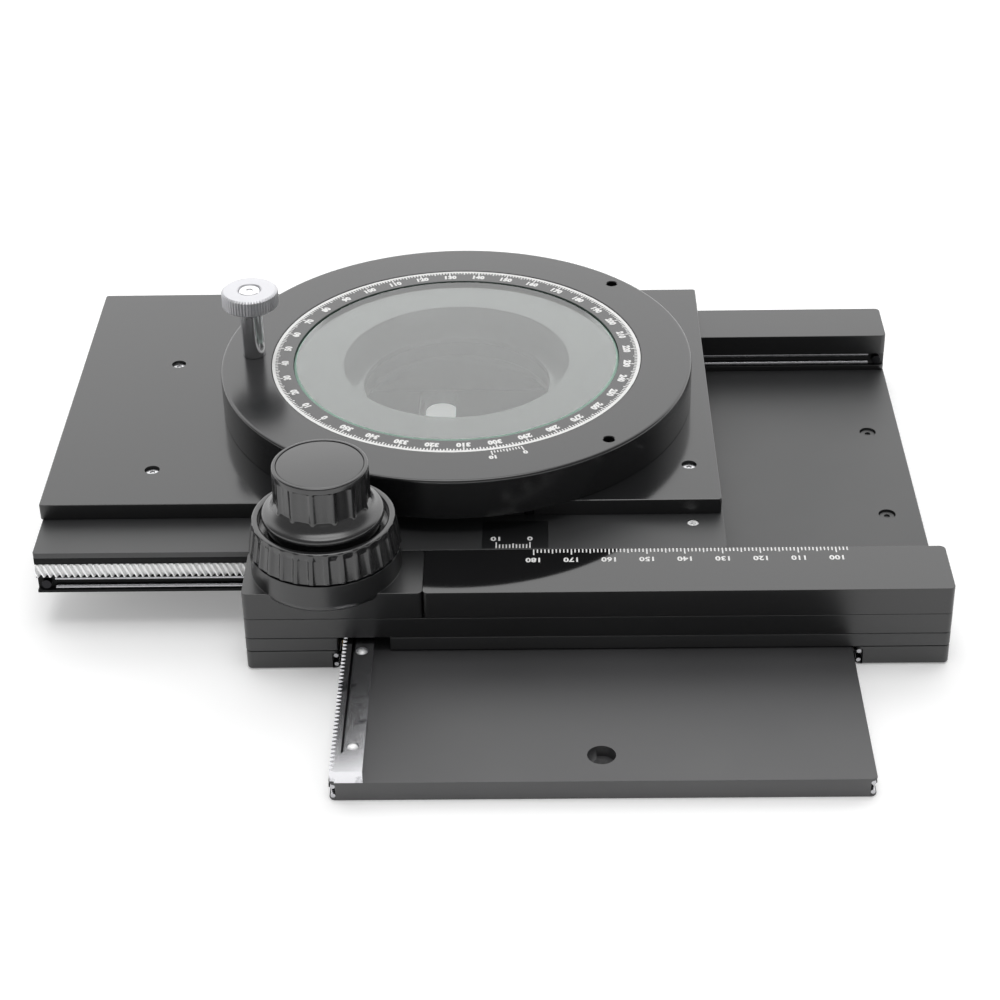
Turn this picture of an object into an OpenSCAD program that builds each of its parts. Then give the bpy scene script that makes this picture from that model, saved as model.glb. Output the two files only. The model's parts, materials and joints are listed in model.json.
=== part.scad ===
// Attachable two-axis microscope stage with a rotating graduated glass insert.
// Millimetres. +X is to the operator's right, +Y is away from the operator, +Z is up.
// The origin is the centre of the base plate's light aperture, on its underside.
// The stage stands as photographed: X carriage at its left stop, Y carriage at its rear stop.

/* [Travel] */
// Travel of the X carriage, left to right
x_travel = 77; // [70:0.5:78]
// Travel of the Y carriage, back to front
y_travel = 52; // [44:0.5:53]

/* [Base plate] */
// Width of the base plate
base_w = 134; // [130:0.5:136]
// Thickness of the base plate
base_t = 5.6; // [5.4:0.1:6.4]
// Radius of the light aperture
aperture_r = 27; // [22:0.5:30]
// How far the base plate shows past the carriage at each travel limit
base_lead = 1.8; // [0.5:0.1:4]
// Distance of the front mounting hole from the front edge
front_hole_inset = 10.1; // [8:0.1:12]
// Radius of the front mounting hole
mount_hole_r = 2.25; // [2:0.05:2.6]
// Radius of its counterbore
mount_head_r = 3.6; // [3.4:0.1:4.2]
// Depth of its counterbore
mount_head_depth = 3.2; // [2.4:0.1:3.6]
// Width of the two rear mounting slots
slot_w = 9.6; // [6:0.1:10]
// End to end length of the rear mounting slots
slot_l = 22; // [16:0.5:26]
// Distance of each rear slot from the centre line
slot_x = 45; // [40:0.5:50]
// Distance of the rear slots' centres behind the aperture
slot_y = 54.3; // [50:0.5:60]

/* [Y carriage] */
// Width of each side rail
rail_w = 24.7; // [24:0.1:27]
// Depth of the Y carriage
car_d = 156.8; // [156:0.1:160]
// Distance from the light axis to the carriage's front face, as photographed
car_front = 70.1; // [69.5:0.1:70.5]
// Gap under the side rails, so that only the base plate touches the table
rail_clear = 0.3; // [0.2:0.05:0.5]
// Gap between the base plate and the main plate
plate_gap = 0.3; // [0.2:0.05:0.5]
// Thickness of the main plate
main_t = 4.2; // [4:0.1:5]
// Height of the front race rail
race_rail_h = 6.1; // [6:0.1:6.6]
// Height of the scale bar and the drive housing
bar_h = 8; // [7.8:0.1:9]
// Depth of the front bar
bar_d = 19.9; // [19.5:0.1:20.2]
// Height of the rear bar
rear_bar_h = 12.1; // [11.5:0.1:12.2]
// Depth of the rear bar
rear_bar_d = 17.8; // [17:0.1:18.2]
// Length of the drive housing along the front bar
housing_l = 47.1; // [46:0.5:52]
// Radius of the rounded upright corners
corner_r = 1.5; // [0.5:0.1:2.5]
// Left edge of the light window in the main plate, from the centre line
window_left = 51; // [44:0.5:52]
// Right edge of the light window, from the centre line
window_right = 33; // [28:0.5:34]
// Front edge of the light window, from the light axis
window_front = 24; // [20:0.5:25]
// Rear edge of the light window, from the light axis
window_back = 66; // [60:0.5:67]
// Corner radius of the light window
window_r = 14; // [6:0.5:18]

/* [X carriage] */
// Distance from the ring's centre to the top plate's left edge
top_left = 112.5; // [110:0.5:114]
// Distance from the ring's centre to the top plate's right edge
top_right = 73.1; // [71:0.1:74]
// Distance from the ring's centre to the top plate's front edge
top_front = 59.4; // [59:0.1:60]
// Distance from the ring's centre to the top plate's rear edge
top_back = 62.7; // [61:0.1:66]
// Thickness of the top plate
top_t = 4.7; // [4.5:0.1:5.2]
// Thickness of the carrier plate
carrier_t = 1.6; // [1.6:0.1:2]
// How far the carrier plate's left edge lies inside the top plate's
carrier_inset = 0.6; // [0.2:0.1:1]
// How far the carrier plate's right edge shows past the top plate's
carrier_show = 0.4; // [0:0.1:1]
// Step from the front bar's top down to the carrier plate's top
carrier_drop = 0.2; // [0.2:0.05:0.3]
// Gap between the carrier plate's front edge and the front bar
lip_gap = 0.3; // [0.2:0.05:0.5]
// Depth of each slide bar
slide_d = 14; // [13:0.1:15]
// Gap between the slide bars and the main plate
slide_clear = 0.9; // [0.5:0.1:1.2]
// Width of the vernier plate
vernier_w = 17.7; // [16:0.1:20]
// Depth of the vernier plate
vernier_d = 13.4; // [12:0.1:14]
// Thickness of the vernier plate
vernier_t = 0.8; // [0.5:0.1:1]
// Distance from the ring's centre to the vernier plate's middle, to the right
vernier_x = 17.1; // [15:0.1:20]

/* [Ring and dial] */
// Outer radius of the ring housing
ring_r = 68; // [67:0.1:68]
// Height of the ring housing
ring_h = 12; // [11.5:0.1:13]
// Angle by which the ring housing is turned on the top plate
ring_turn = -2.2; // [-5:0.1:5]
// Radius of the dial
dial_r = 53.4; // [52:0.1:53.6]
// Radial gap between the dial and the ring housing
dial_gap = 0.1; // [0.05:0.01:0.2]
// Radius of the dial's inner opening
dial_bore_r = 32.5; // [31:0.1:35]
// Radius of the light opening through the ring's floor and both plates
light_r = 27; // [24:0.1:28]
// Thickness of the ring housing's floor
ring_floor = 1.8; // [1.5:0.1:2.4]
// Radius of the stage glass
glass_r = 47; // [45:0.1:48]
// Thickness of the stage glass
glass_t = 2.6; // [2:0.1:3]
// How far the dial's face lies below the ring's top
dial_drop = 0.15; // [0.1:0.05:0.4]
// Radius of the circle of the two clip holes
clip_r = 63.8; // [62:0.1:65]
// Angle of each clip hole from the ring's right-hand side
clip_angle = 45.7; // [40:0.1:50]
// Radius of the clip holes
clip_hole_r = 1.6; // [1.2:0.1:2]
// Depth of the clip holes
clip_hole_depth = 6; // [4:0.5:7]

/* [Lock screw] */
// Distance of the lock screw from the ring's centre
lock_at = 58.8; // [58:0.1:60]
// Radius of the lock stem
stem_r = 3.2; // [3:0.1:3.4]
// Height of the lock knob's underside over the ring
lock_rise = 16; // [14:0.5:18]
// Radius of the lock knob
lock_r = 8.1; // [7:0.1:9]
// Height of the lock knob
lock_h = 5; // [4:0.1:6]
// Ridges round the lock knob
lock_ridges = 56; // [40:1:64]

/* [Drive] */
// Module of both racks and pinions
gear_m = 0.5; // [0.5]
// Slant of the X rack's teeth
helix = 20; // [15:1:20]
// Teeth on the X pinion
x_teeth = 26; // [25:1:26]
// Teeth on the Y pinion
y_teeth = 20; // [20:1:20]
// Play between rack and pinion teeth
backlash = 0.14; // [0.1:0.01:0.16]
// Radial running clearance of the shafts
run_fit = 0.05; // [0.03:0.01:0.08]
// Width of the X rack
x_rack_h = 3.9; // [3.5:0.1:4]
// Width of the Y rack over its teeth
y_rack_w = 8.15; // [7.6:0.05:8.4]
// Height of the Y rack
y_rack_h = 3.5; // [3.2:0.1:3.7]
// Length of the Y rack
y_rack_l = 98.6; // [96:0.1:100]
// Radius of the inner shaft
shaft_r = 2; // [1.8:0.1:2.2]
// Radius of the sleeve shaft
sleeve_r = 4; // [3.8:0.1:4.2]
// Outer radius of the sleeve bush
sleeve_bush_r = 6; // [5.5:0.1:6.4]
// Outer radius of the shaft bush
shaft_bush_r = 3.4; // [3:0.1:3.5]
// Radius of the boss under the knobs
boss_r = 19.8; // [19:0.1:19.8]
// Height of the boss over the front bar
boss_h = 6.2; // [5.5:0.1:6.4]
// Height of the boss's rounded foot, as a share of how far it overhangs the bar
boss_foot = 0.6; // [0.5:0.05:1]

/* [Knobs] */
// Gap between the boss and the large knob
knob_gap = 0.45; // [0.4:0.05:0.6]
// Radius of the large knob at its foot
big_r = 20.1; // [19.5:0.1:20.1]
// Radius of the large knob at its top
big_top_r = 18.9; // [18.5:0.1:19.2]
// Height of the large knob
big_h = 8.8; // [8:0.1:10]
// Ribs round the large knob
big_ribs = 30; // [24:1:36]
// Radius of the recess in the large knob's top
recess_r = 17; // [16.5:0.1:17.2]
// Depth of the recess in the large knob's top
recess_depth = 3; // [2.5:0.1:3.5]
// Radius of the small knob's flange
flange_r = 16; // [15.4:0.1:16.2]
// Thickness of the small knob's flange
flange_t = 2.3; // [2:0.1:3]
// Radius of the small knob
small_r = 12.6; // [12:0.1:13]
// Height of the small knob, flange included
small_h = 18; // [16:0.5:20]
// Flutes round the small knob
small_flutes = 14; // [12:1:18]
// Radius of the cap in the small knob
cap_r = 11.5; // [11:0.1:11.8]
// Thickness of the cap
cap_t = 1.2; // [1:0.1:1.6]

/* [Ball races] */
// Diameter of the race wires
wire_d = 1.2; // [1:0.05:1.3]
// Spacing of the four wires round the balls
wire_pitch = 2.8; // [2.7:0.05:2.8]
// Gap between the two faces of a race
race_gap = 0.8; // [0.7:0.05:0.9]
// Play between a ball and its wires
ball_play = 0.03; // [0.02:0.01:0.05]
// Height of the X race over the main plate
x_race_up = 3.7; // [3.4:0.1:3.8]
// Spacing of the balls
ball_step = 10; // [8:1:12]
// Balls in each cage
ball_count = 12; // [8:1:12]
// Thickness of a cage strip
cage_t = 0.4; // [0.3:0.05:0.5]
// Height of a cage strip
cage_h = 4; // [3.6:0.1:4]

/* [Fasteners] */
// Radius of the M2.5 screws
screw_r = 1.25; // [1.2:0.05:1.5]
// Radius of the M2.5 screw heads
head_r = 2.25; // [2.1:0.05:2.8]
// Height of the M2.5 screw heads
head_h = 2.5; // [2:0.1:2.8]
// Clearance round a screw head in its counterbore
head_fit = 0.15; // [0.1:0.05:0.3]
// Radius of the racks' screws
rack_screw_r = 0.8; // [0.8:0.1:1.2]
// Radius of the racks' screw heads
rack_head_r = 1.55; // [1.4:0.05:1.9]
// Radius of the top plate's screws
plate_screw_r = 1.2; // [1:0.1:1.5]
// Radius of the top plate's screw heads
plate_head_r = 2; // [1.8:0.1:2.2]
// Radius of the travel stop pins
stop_r = 2.5; // [2:0.1:2.6]
// Side clearance of a stop pin in its groove
stop_fit = 0.2; // [0.1:0.05:0.4]
// Depth of the stop grooves
stop_depth = 2.5; // [2:0.1:2.8]

/* [Hidden] */
$fn = 96;
eps = 0.01;
far = 400;

// heights, from the table up
base_top = base_t;
rail_top = base_top + plate_gap;
main_top = rail_top + main_t;
race_rail_top = main_top + race_rail_h;
bar_top = race_rail_top + bar_h;
carrier_top = bar_top - carrier_drop;
carrier_bottom = carrier_top - carrier_t;
slide_bottom = main_top + slide_clear;
top_top = carrier_top + top_t;
ring_top = top_top + ring_h;
floor_top = top_top + ring_floor;
boss_top = bar_top + boss_h;

// plan of the Y carriage, whose side rails run beside the base plate
base_x = base_w / 2;
rail_x0 = base_x + race_gap;
car_x = rail_x0 + rail_w;
car_y0 = -car_front;
car_y1 = car_y0 + car_d;
bar_y1 = car_y0 + bar_d;
rear_y0 = car_y1 - rear_bar_d;
housing_x1 = -car_x + housing_l;

// plan of the base plate
base_y0 = car_y0 - y_travel - base_lead;
base_y1 = car_y1 - base_lead;

// ball races: a square of four wires round each ball
half_gap = race_gap / 2;
wire_r = wire_d / 2;
wire_at = wire_pitch / 2;
groove_half = wire_at + wire_r;
groove_depth = groove_half - half_gap;
ball_r = wire_at * sqrt(2) - wire_r - ball_play;
x_race_z = main_top + x_race_up;
y_race_z = base_t / 2;
front_race_y = bar_y1 + half_gap;
rear_race_y = rear_y0 - half_gap;
y_race_x = base_x + half_gap;
cage_l = ball_step * ball_count - 2;
x_wire_inset = 5;
y_wire_inset = 0.3;
x_stop_inset = 2.6;
y_stop_inset = 3;
x_stop_pin_r = 1.3;
y_stop_pin_r = 0.7;
stop_thread = 3;
stop_back = 0.25;

// plan of the X carriage
ring_x = -x_travel / 2;
ring_y = y_travel / 2;
top_x0 = ring_x - top_left;
top_x1 = ring_x + top_right;
top_y0 = ring_y - top_front;
top_y1 = ring_y + top_back;
carrier_x0 = top_x0 + carrier_inset;
carrier_x1 = top_x1 + carrier_show;
carrier_y0 = bar_y1 + lip_gap;
slide_y0 = bar_y1 + race_gap;
slide_y1 = rear_y0 - race_gap;
vernier_at = ring_x + vernier_x;

// cages sit where both halves of a race overlap over the whole travel
x_cage_mid = (carrier_x1 - car_x) / 2;
y_cage_mid = (car_y0 + car_y1 - y_travel / 2) / 2;

// racks and pinions
addendum = gear_m;
dedendum = 1.25 * gear_m;
press_angle = 20;
flank_steps = 3;
x_m = gear_m / cos(helix);
x_pitch = PI * x_m;
y_pitch = PI * gear_m;
x_pinion_r = x_m * x_teeth / 2;
y_pinion_r = gear_m * y_teeth / 2;
x_rack_tip = slide_y0 - half_gap;
x_rack_line = x_rack_tip + addendum;
x_rack_back = x_rack_line + 3;
x_rack_l = x_travel + 13;
x_rack_z0 = race_rail_top;
x_rack_z1 = x_rack_z0 + x_rack_h;
y_rack_tip = -base_x + 0.35;
y_rack_line = y_rack_tip + addendum;
y_rack_x1 = y_rack_tip + y_rack_w;
y_rack_z1 = base_top + y_rack_h;
axis_x = y_rack_line - y_pinion_r;
axis_y = x_rack_line - x_pinion_r;
pinion_side = 0.2;
x_pinion_z0 = x_rack_z0 + pinion_side;
x_pinion_h = x_rack_h - pinion_side;
y_pinion_z0 = rail_top + 2 * pinion_side;
y_pinion_h = y_rack_h - 0.9;
pocket_gap = 0.45;
pocket_top = x_rack_z1 + pocket_gap;

// clearance slot for the Y rack in the main plate
rack_slot_x0 = y_rack_tip - 1.45;
rack_slot_x1 = y_rack_x1 + 4.1;
rack_slot_y1 = base_y0 + y_rack_l + y_travel + 1.5;

// knobs
big_z0 = boss_top + knob_gap;
big_z1 = big_z0 + big_h;
recess_z = big_z1 - recess_depth;
small_z0 = recess_z + 0.7;
small_z1 = small_z0 + small_h;
flange_z1 = small_z0 + flange_t;
flute_r = 2.2;
flute_out = 1.65;
flute_turn = -7;
flute_rise = 0.7;
flute_drop = 2.4;
rib_cut_r = 1.7;
rib_cut_out = 1.1;
hub_gap = 0.2;
shaft_top = small_z1 - 6;
cap_z0 = small_z1 - cap_t;
pocket_r = 3.5;
cap_screw_r = 1.25;
cap_head_r = 2.3;
cap_head_h = 2;
cap_screw_l = 6;
washer_r = 8;
washer_t = knob_gap - 0.05;

// stop pins and grooves
y_stop_x = 50;
y_stop_y = 10;
x_stop_x = -48;
x_stop_y = -30;

// screws
socket_r = 1.15;
socket_depth = 1.3;
screw_back = 0.3;
blind_end = 2;
thread_end = 3;
rail_screw_x = car_x - 9.45;
rail_screw_front = 12.2;
rail_screw_back = 10.35;
rail_screw_step = (car_d - rail_screw_front - rail_screw_back) / 3;
rail_screw_y = [for (i = [0 : 3]) car_y0 + rail_screw_front + i * rail_screw_step];
rail_screw_drop = 0.6;
bar_screw_end = 6.5;
housing_screw_in = 4.6;
front_screw_x = [bar_screw_end - car_x, housing_x1 - housing_screw_in, -15, 35, car_x - bar_screw_end];
front_screw_in = 5;
front_screw_y = car_y0 + front_screw_in;
rear_screw_x = [-60, 0, 60];
rear_screw_in = 9;
rear_screw_y = car_y1 - rear_screw_in;
slide_screw_x = [25, 62, 112, 162];
plate_screw_x = [-83.9, 65.2];
plate_screw_y = [-41.6, 18.1];
plate_screw_drop = 0.8;
plate_head_seat = 2.2;
set_screw_at = [65.1, -63.5];
set_screw_r = 1.7;
set_screw_foot = 2;
ring_screw_in = 7;
ring_screw_r = ring_r - ring_screw_in;
ring_thread = 4.5;
ring_screw_a = [20, 110, 200, 290];
rack_screw_in = 10;
rack_screw_grip = 3;
rack_head_fit = 0.1;
rack_head_seat = 1;
rack_head_proud = 0.4;
driver_slot = 0.5;
y_rack_screw_x = y_rack_tip + 5.2;
rack_groove_at = 2.9;
rack_groove_w = 0.5;
rack_groove_in = 7.7;
rack_groove_depth = 1.4;
x_rack_screw_x = [10, 45, 80];
x_rack_head_r = 1.6;
x_rack_head_h = 1.6;
x_rack_head_drop = 0.4;
x_rack_thread = 1.5;

// ring, dial and lock
recess_wall = dial_r + dial_gap;
bearing_t = 0.5;
bearing_in = 1;
bearing_w = 7;
dial_z0 = floor_top + bearing_t + 0.05;
dial_z1 = ring_top - dial_drop;
glass_z0 = dial_z1 - glass_t - 0.1;
lock_angle = 180 + ring_turn;
lock_hole_r = stem_r - 0.15;
lock_tip_z = floor_top + 2.6;
brake_z = floor_top + 4.8;
brake_r = 1.5;

// ---- plain shapes ----

// Block between two corners
module block(x0, x1, y0, y1, z0, z1) {
    translate([x0, y0, z0]) cube([x1 - x0, y1 - y0, z1 - z0]);
}

// Block whose upright corners are rounded
module round_block(x0, x1, y0, y1, z0, z1, r) {
    translate([0, 0, z0]) linear_extrude(z1 - z0) round_rect(x0, x1, y0, y1, r);
}

// Rectangle with rounded corners
module round_rect(x0, x1, y0, y1, r) {
    translate([x0 + r, y0]) square([x1 - x0 - 2 * r, y1 - y0]);
    translate([x0, y0 + r]) square([x1 - x0, y1 - y0 - 2 * r]);
    for (x = [x0 + r, x1 - r], y = [y0 + r, y1 - r]) translate([x, y]) circle(r);
}

// Upright cylinder between two heights
module post(x, y, r, z0, z1) {
    translate([x, y, z0]) cylinder(r = r, h = z1 - z0);
}

// Upright tube between two heights
module tube(x, y, r, bore, z0, z1) {
    difference() {
        post(x, y, r, z0, z1);
        post(x, y, bore, z0 - 1, z1 + 1);
    }
}

// Round bar along X or along Y
module bar_along_x(x0, x1, y, z, r) {
    translate([x0, y, z]) rotate([0, 90, 0]) cylinder(r = r, h = x1 - x0);
}

module bar_along_y(y0, y1, x, z, r) {
    translate([x, y1, z]) rotate([90, 0, 0]) cylinder(r = r, h = y1 - y0);
}

// Puts its children on the ring's centre, or on the knobs' axis
module at_ring() {
    translate([ring_x, ring_y, 0]) children();
}

module at_knobs() {
    translate([axis_x, axis_y, 0]) children();
}

// ---- screws ----

// Cap screw from underneath: head at the bottom, thread reaching up
module screw_up(x, y, head_z, top_z) {
    post(x, y, head_r, head_z, head_z + head_h);
    post(x, y, screw_r, head_z + head_h, top_z);
}

// Hole for it: counterbore, then the thread's hole
module screw_up_hole(x, y, head_z, top_z) {
    post(x, y, head_r + head_fit, head_z - 1, head_z + head_h);
    post(x, y, screw_r, head_z + head_h - eps, top_z);
}

// Cap screw from above, with a hexagon socket
module screw_down(x, y, head_top, bottom_z) {
    difference() {
        union() {
            post(x, y, head_r, head_top - head_h, head_top);
            post(x, y, screw_r, bottom_z, head_top - head_h);
        }
        translate([x, y, head_top - socket_depth]) cylinder(r = socket_r, h = socket_depth + 1, $fn = 6);
    }
}

module screw_down_hole(x, y, head_top, bottom_z) {
    post(x, y, head_r + head_fit, head_top - head_h, head_top + far);
    post(x, y, screw_r, bottom_z, head_top - head_h + eps);
}

// ---- ball races ----

// Race groove along X in a face at face_y; side is +1 where the part lies behind the face
module x_groove(face_y, side) {
    y0 = side > 0 ? face_y - 1 : face_y - groove_depth;
    y1 = side > 0 ? face_y + groove_depth : face_y + 1;
    block(-far, far, y0, y1, x_race_z - groove_half, x_race_z + groove_half);
}

// Race groove along Y in a face at face_x; side is +1 where the part lies beyond the face
module y_groove(face_x, side) {
    x0 = side > 0 ? face_x - 1 : face_x - groove_depth;
    x1 = side > 0 ? face_x + groove_depth : face_x + 1;
    block(x0, x1, -far, far, y_race_z - groove_half, y_race_z + groove_half);
}

module x_wires(x0, x1, mid_y, side) {
    for (s = [-1, 1]) {
        bar_along_x(x0 + x_wire_inset, x1 - x_wire_inset, mid_y + side * wire_at,
                    x_race_z + s * wire_at, wire_r);
    }
}

module y_wires(y0, y1, mid_x, side) {
    for (s = [-1, 1]) {
        bar_along_y(y0 + y_wire_inset, y1 - y_wire_inset, mid_x + side * wire_at,
                    y_race_z + s * wire_at, wire_r);
    }
}

// Cage stop screws near both ends of a groove along X
module x_stops(x0, x1, mid_y, side) {
    reach = groove_half + stop_thread;
    y0 = side > 0 ? mid_y + stop_back : mid_y - reach;
    y1 = side > 0 ? mid_y + reach : mid_y - stop_back;
    for (x = [x0 + x_stop_inset, x1 - x_stop_inset]) bar_along_y(y0, y1, x, x_race_z, x_stop_pin_r);
}

// Cage stop pins near both ends of a groove along Y
module y_stops(y0, y1, mid_x, side) {
    reach = groove_half + stop_thread;
    x0 = side > 0 ? mid_x + stop_back : mid_x - reach;
    x1 = side > 0 ? mid_x + reach : mid_x - stop_back;
    for (y = [y0 + y_stop_inset, y1 - y_stop_inset]) bar_along_x(x0, x1, y, y_race_z, y_stop_pin_r);
}

// Where ball number i of a cage lies from the cage's middle
function ball_at(i) = (i - (ball_count - 1) / 2) * ball_step;

// ---- rack and pinion teeth ----

// Involute function of an angle in degrees, as degrees
function inv(a) = tan(a) * 180 / PI - a;

// Half the angle that a tooth spans at radius rho
function half_tooth(rho, r, teeth) =
    let (base = r * cos(press_angle))
    90 / teeth - backlash / 2 / r * 90 / PI + inv(press_angle) - inv(acos(min(1, base / rho)));

// Radii along one flank, from the base circle to the tip
function flank_radii(r) =
    let (low = max(r * cos(press_angle), r - dedendum), high = r + addendum)
    [for (i = [0 : flank_steps]) low + (high - low) * i / flank_steps];

// Outline of a pinion with one tooth centred on angle 0
function pinion_points(r, teeth) = [
    for (t = [0 : teeth - 1])
    let (mid = t * 360 / teeth, radii = flank_radii(r), foot = half_tooth(radii[0], r, teeth))
    each concat(
        [(r - dedendum) * [cos(mid - foot), sin(mid - foot)]],
        [for (rho = radii) rho * [cos(mid - half_tooth(rho, r, teeth)),
                                  sin(mid - half_tooth(rho, r, teeth))]],
        [for (i = [flank_steps : -1 : 0])
            radii[i] * [cos(mid + half_tooth(radii[i], r, teeth)),
                        sin(mid + half_tooth(radii[i], r, teeth))]],
        [(r - dedendum) * [cos(mid + foot), sin(mid + foot)]])];

// Tooth space of a rack: u runs along the rack, v out of it, both from the pitch line
function space_points(pitch) =
    let (half = pitch / 4 + backlash / 4, slope = tan(press_angle), over = addendum + 0.3)
    [[-half + dedendum * slope, -dedendum], [half - dedendum * slope, -dedendum],
     [half + over * slope, over], [-half - over * slope, over]];

// ---- base ----

module base_plate() color("#1f2021") difference() {
    round_block(-base_x, base_x, base_y0, base_y1, 0, base_top, corner_r);
    post(0, 0, aperture_r, -1, base_top + 1);
    for (s = [-1, 1]) y_groove(s * base_x, -s);
    post(0, base_y0 + front_hole_inset, mount_hole_r, -1, base_top + 1);
    post(0, base_y0 + front_hole_inset, mount_head_r, base_top - mount_head_depth, base_top + 1);
    for (s = [-1, 1]) {
        round_block(s * slot_x - slot_w / 2, s * slot_x + slot_w / 2, slot_y - slot_l / 2,
                    slot_y + slot_l / 2, -1, base_top + 1, slot_w / 2 - eps);
    }
    y_stop_groove();
    for (y = y_rack_screw_ys()) {
        post(y_rack_screw_x, y, rack_screw_r, base_top - rack_screw_grip, base_top + 1);
    }
    base_cage_stops();
}

// Groove in the base plate's top that the Y stop pin runs in
module y_stop_groove() {
    w = stop_r + stop_fit;
    round_block(y_stop_x - w, y_stop_x + w, y_stop_y - y_travel - w, y_stop_y + w,
                base_top - stop_depth, base_top + 1, w - eps);
}

module base_race_wires() color("silver") {
    for (s = [-1, 1]) y_wires(base_y0, base_y1, s * y_race_x, -s);
}

module base_cage_stops() color("dimgray") {
    for (s = [-1, 1]) y_stops(base_y0, base_y1, s * y_race_x, -s);
}

function y_rack_screw_ys() =
    [for (t = [0, 0.5, 1]) base_y0 + rack_screw_in + t * (y_rack_l - 2 * rack_screw_in)];

module y_rack() color("silver") difference() {
    block(y_rack_tip, y_rack_x1, base_y0, base_y0 + y_rack_l, base_top, y_rack_z1);
    // tooth spaces, one of them centred on the pinion
    first = ceil((base_y0 - axis_y) / y_pitch) - 1;
    last = floor((base_y0 + y_rack_l - axis_y) / y_pitch) + 1;
    translate([y_rack_line, axis_y, base_top - 1]) linear_extrude(y_rack_h + 2) {
        for (i = [first : last]) translate([0, i * y_pitch]) rotate(90) polygon(space_points(y_pitch));
    }
    // relief groove beside the teeth
    block(y_rack_tip + rack_groove_at, y_rack_tip + rack_groove_at + rack_groove_w,
          base_y0 + rack_groove_in, base_y0 + y_rack_l - rack_groove_in,
          y_rack_z1 - rack_groove_depth, y_rack_z1 + 1);
    for (y = y_rack_screw_ys()) {
        post(y_rack_screw_x, y, rack_screw_r, base_top - 1, y_rack_z1 + 1);
        post(y_rack_screw_x, y, rack_head_r + rack_head_fit, y_rack_z1 - rack_head_seat, y_rack_z1 + 1);
    }
}

module y_rack_screws() color("gainsboro") for (y = y_rack_screw_ys()) difference() {
    union() {
        post(y_rack_screw_x, y, rack_screw_r, base_top - rack_screw_grip, y_rack_z1 - rack_head_seat);
        post(y_rack_screw_x, y, rack_head_r, y_rack_z1 - rack_head_seat, y_rack_z1 + rack_head_proud);
    }
    block(y_rack_screw_x - 2 * rack_head_r, y_rack_screw_x + 2 * rack_head_r, y - driver_slot / 2,
          y + driver_slot / 2, y_rack_z1 + rack_head_proud - driver_slot, y_rack_z1 + rack_head_proud + 1);
}

// ---- Y carriage ----

module main_plate() color("#26282a") difference() {
    round_block(-car_x, car_x, car_y0, car_y1, rail_top, main_top, corner_r);
    round_block(-window_left, window_right, -window_front, window_back, rail_top - 1, main_top + 1,
                window_r);
    // room for the Y rack and its pinion
    block(rack_slot_x0, rack_slot_x1, car_y0 - 1, rack_slot_y1, rail_top - 1, main_top + 1);
    post(axis_x, axis_y, y_pinion_r + addendum + pocket_gap, rail_top - 1, main_top + 1);
    for (s = [-1, 1], y = rail_screw_y) screw_down_hole(s * rail_screw_x, y, rail_head_z(), 0);
    for (x = front_screw_x) screw_up_hole(x, front_screw_y, bar_head_z(), far);
    for (x = rear_screw_x) screw_up_hole(x, rear_screw_y, bar_head_z(), far);
    post(y_stop_x, y_stop_y, stop_r, rail_top - 1, main_top - 1);
    x_stop_groove();
}

// Groove in the main plate's top that the X stop pin runs in
module x_stop_groove() {
    w = stop_r + stop_fit;
    round_block(x_stop_x - w, x_stop_x + x_travel + w, x_stop_y - w, x_stop_y + w,
                main_top - stop_depth, main_top + 1, w - eps);
}

function rail_head_z() = main_top - rail_screw_drop;
function bar_head_z() = rail_top + screw_back;

module side_rail(s) difference() {
    x0 = s > 0 ? rail_x0 : -car_x;
    x1 = s > 0 ? car_x : -rail_x0;
    round_block(x0, x1, car_y0, car_y1, rail_clear, rail_top, corner_r);
    y_groove(s * rail_x0, s);
    for (y = rail_screw_y) post(s * rail_screw_x, y, screw_r, rail_clear + 1, rail_top + 1);
    y_stops(car_y0, car_y1, s * y_race_x, s);
}

module left_side_rail() color("#232527") side_rail(-1);
module right_side_rail() color("#232527") side_rail(1);

module side_rail_screws() color("#303234") {
    for (s = [-1, 1], y = rail_screw_y) screw_down(s * rail_screw_x, y, rail_head_z(), rail_clear + 1.5);
}

module side_rail_wires() color("silver") {
    for (s = [-1, 1]) y_wires(car_y0, car_y1, s * y_race_x, s);
}

module side_rail_cage_stops() color("dimgray") {
    for (s = [-1, 1]) y_stops(car_y0, car_y1, s * y_race_x, s);
}

module front_race_rail() color("#232527") difference() {
    round_block(-car_x, car_x, car_y0, bar_y1, main_top, race_rail_top, corner_r);
    x_groove(bar_y1, -1);
    at_knobs() post(0, 0, shaft_bush_r, main_top - 1, race_rail_top + 1);
    for (x = front_screw_x) post(x, front_screw_y, screw_r, main_top - 1, race_rail_top + 1);
    x_stops(-car_x, car_x, front_race_y, -1);
}

// Round boss that carries the sleeve bush; in front of the bar its foot is rounded back to the bar's face
module boss() at_knobs() {
    post(0, 0, boss_r, bar_top, boss_top);
    overhang = boss_r + car_y0 - axis_y;
    foot = overhang * boss_foot;
    intersection() {
        rotate_extrude() polygon(concat(
            [[0, bar_top], [boss_r, bar_top]],
            [for (a = [15 : 15 : 90]) [boss_r - overhang * (1 - cos(a)), bar_top - foot * sin(a)]],
            [[0, bar_top - foot]]));
        block(-boss_r, boss_r, -boss_r, car_y0 - axis_y + 1, bar_top - foot, bar_top);
    }
}

module drive_housing() color("#2a2c2e") difference() {
    union() {
        round_block(-car_x, housing_x1, car_y0, bar_y1, race_rail_top, bar_top, corner_r);
        boss();
    }
    at_knobs() {
        post(0, 0, x_pinion_r + addendum + pocket_gap, race_rail_top - 1, pocket_top);
        post(0, 0, sleeve_bush_r, pocket_top - 1, boss_top + 1);
        // relief over the carrier plate, behind the bar
        block(-far, far, bar_y1 - axis_y, far, bar_top - 1, bar_top + 0.1);
    }
    for (x = front_screw_x) post(x, front_screw_y, screw_r, race_rail_top - 1, bar_top - blind_end);
}

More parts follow.
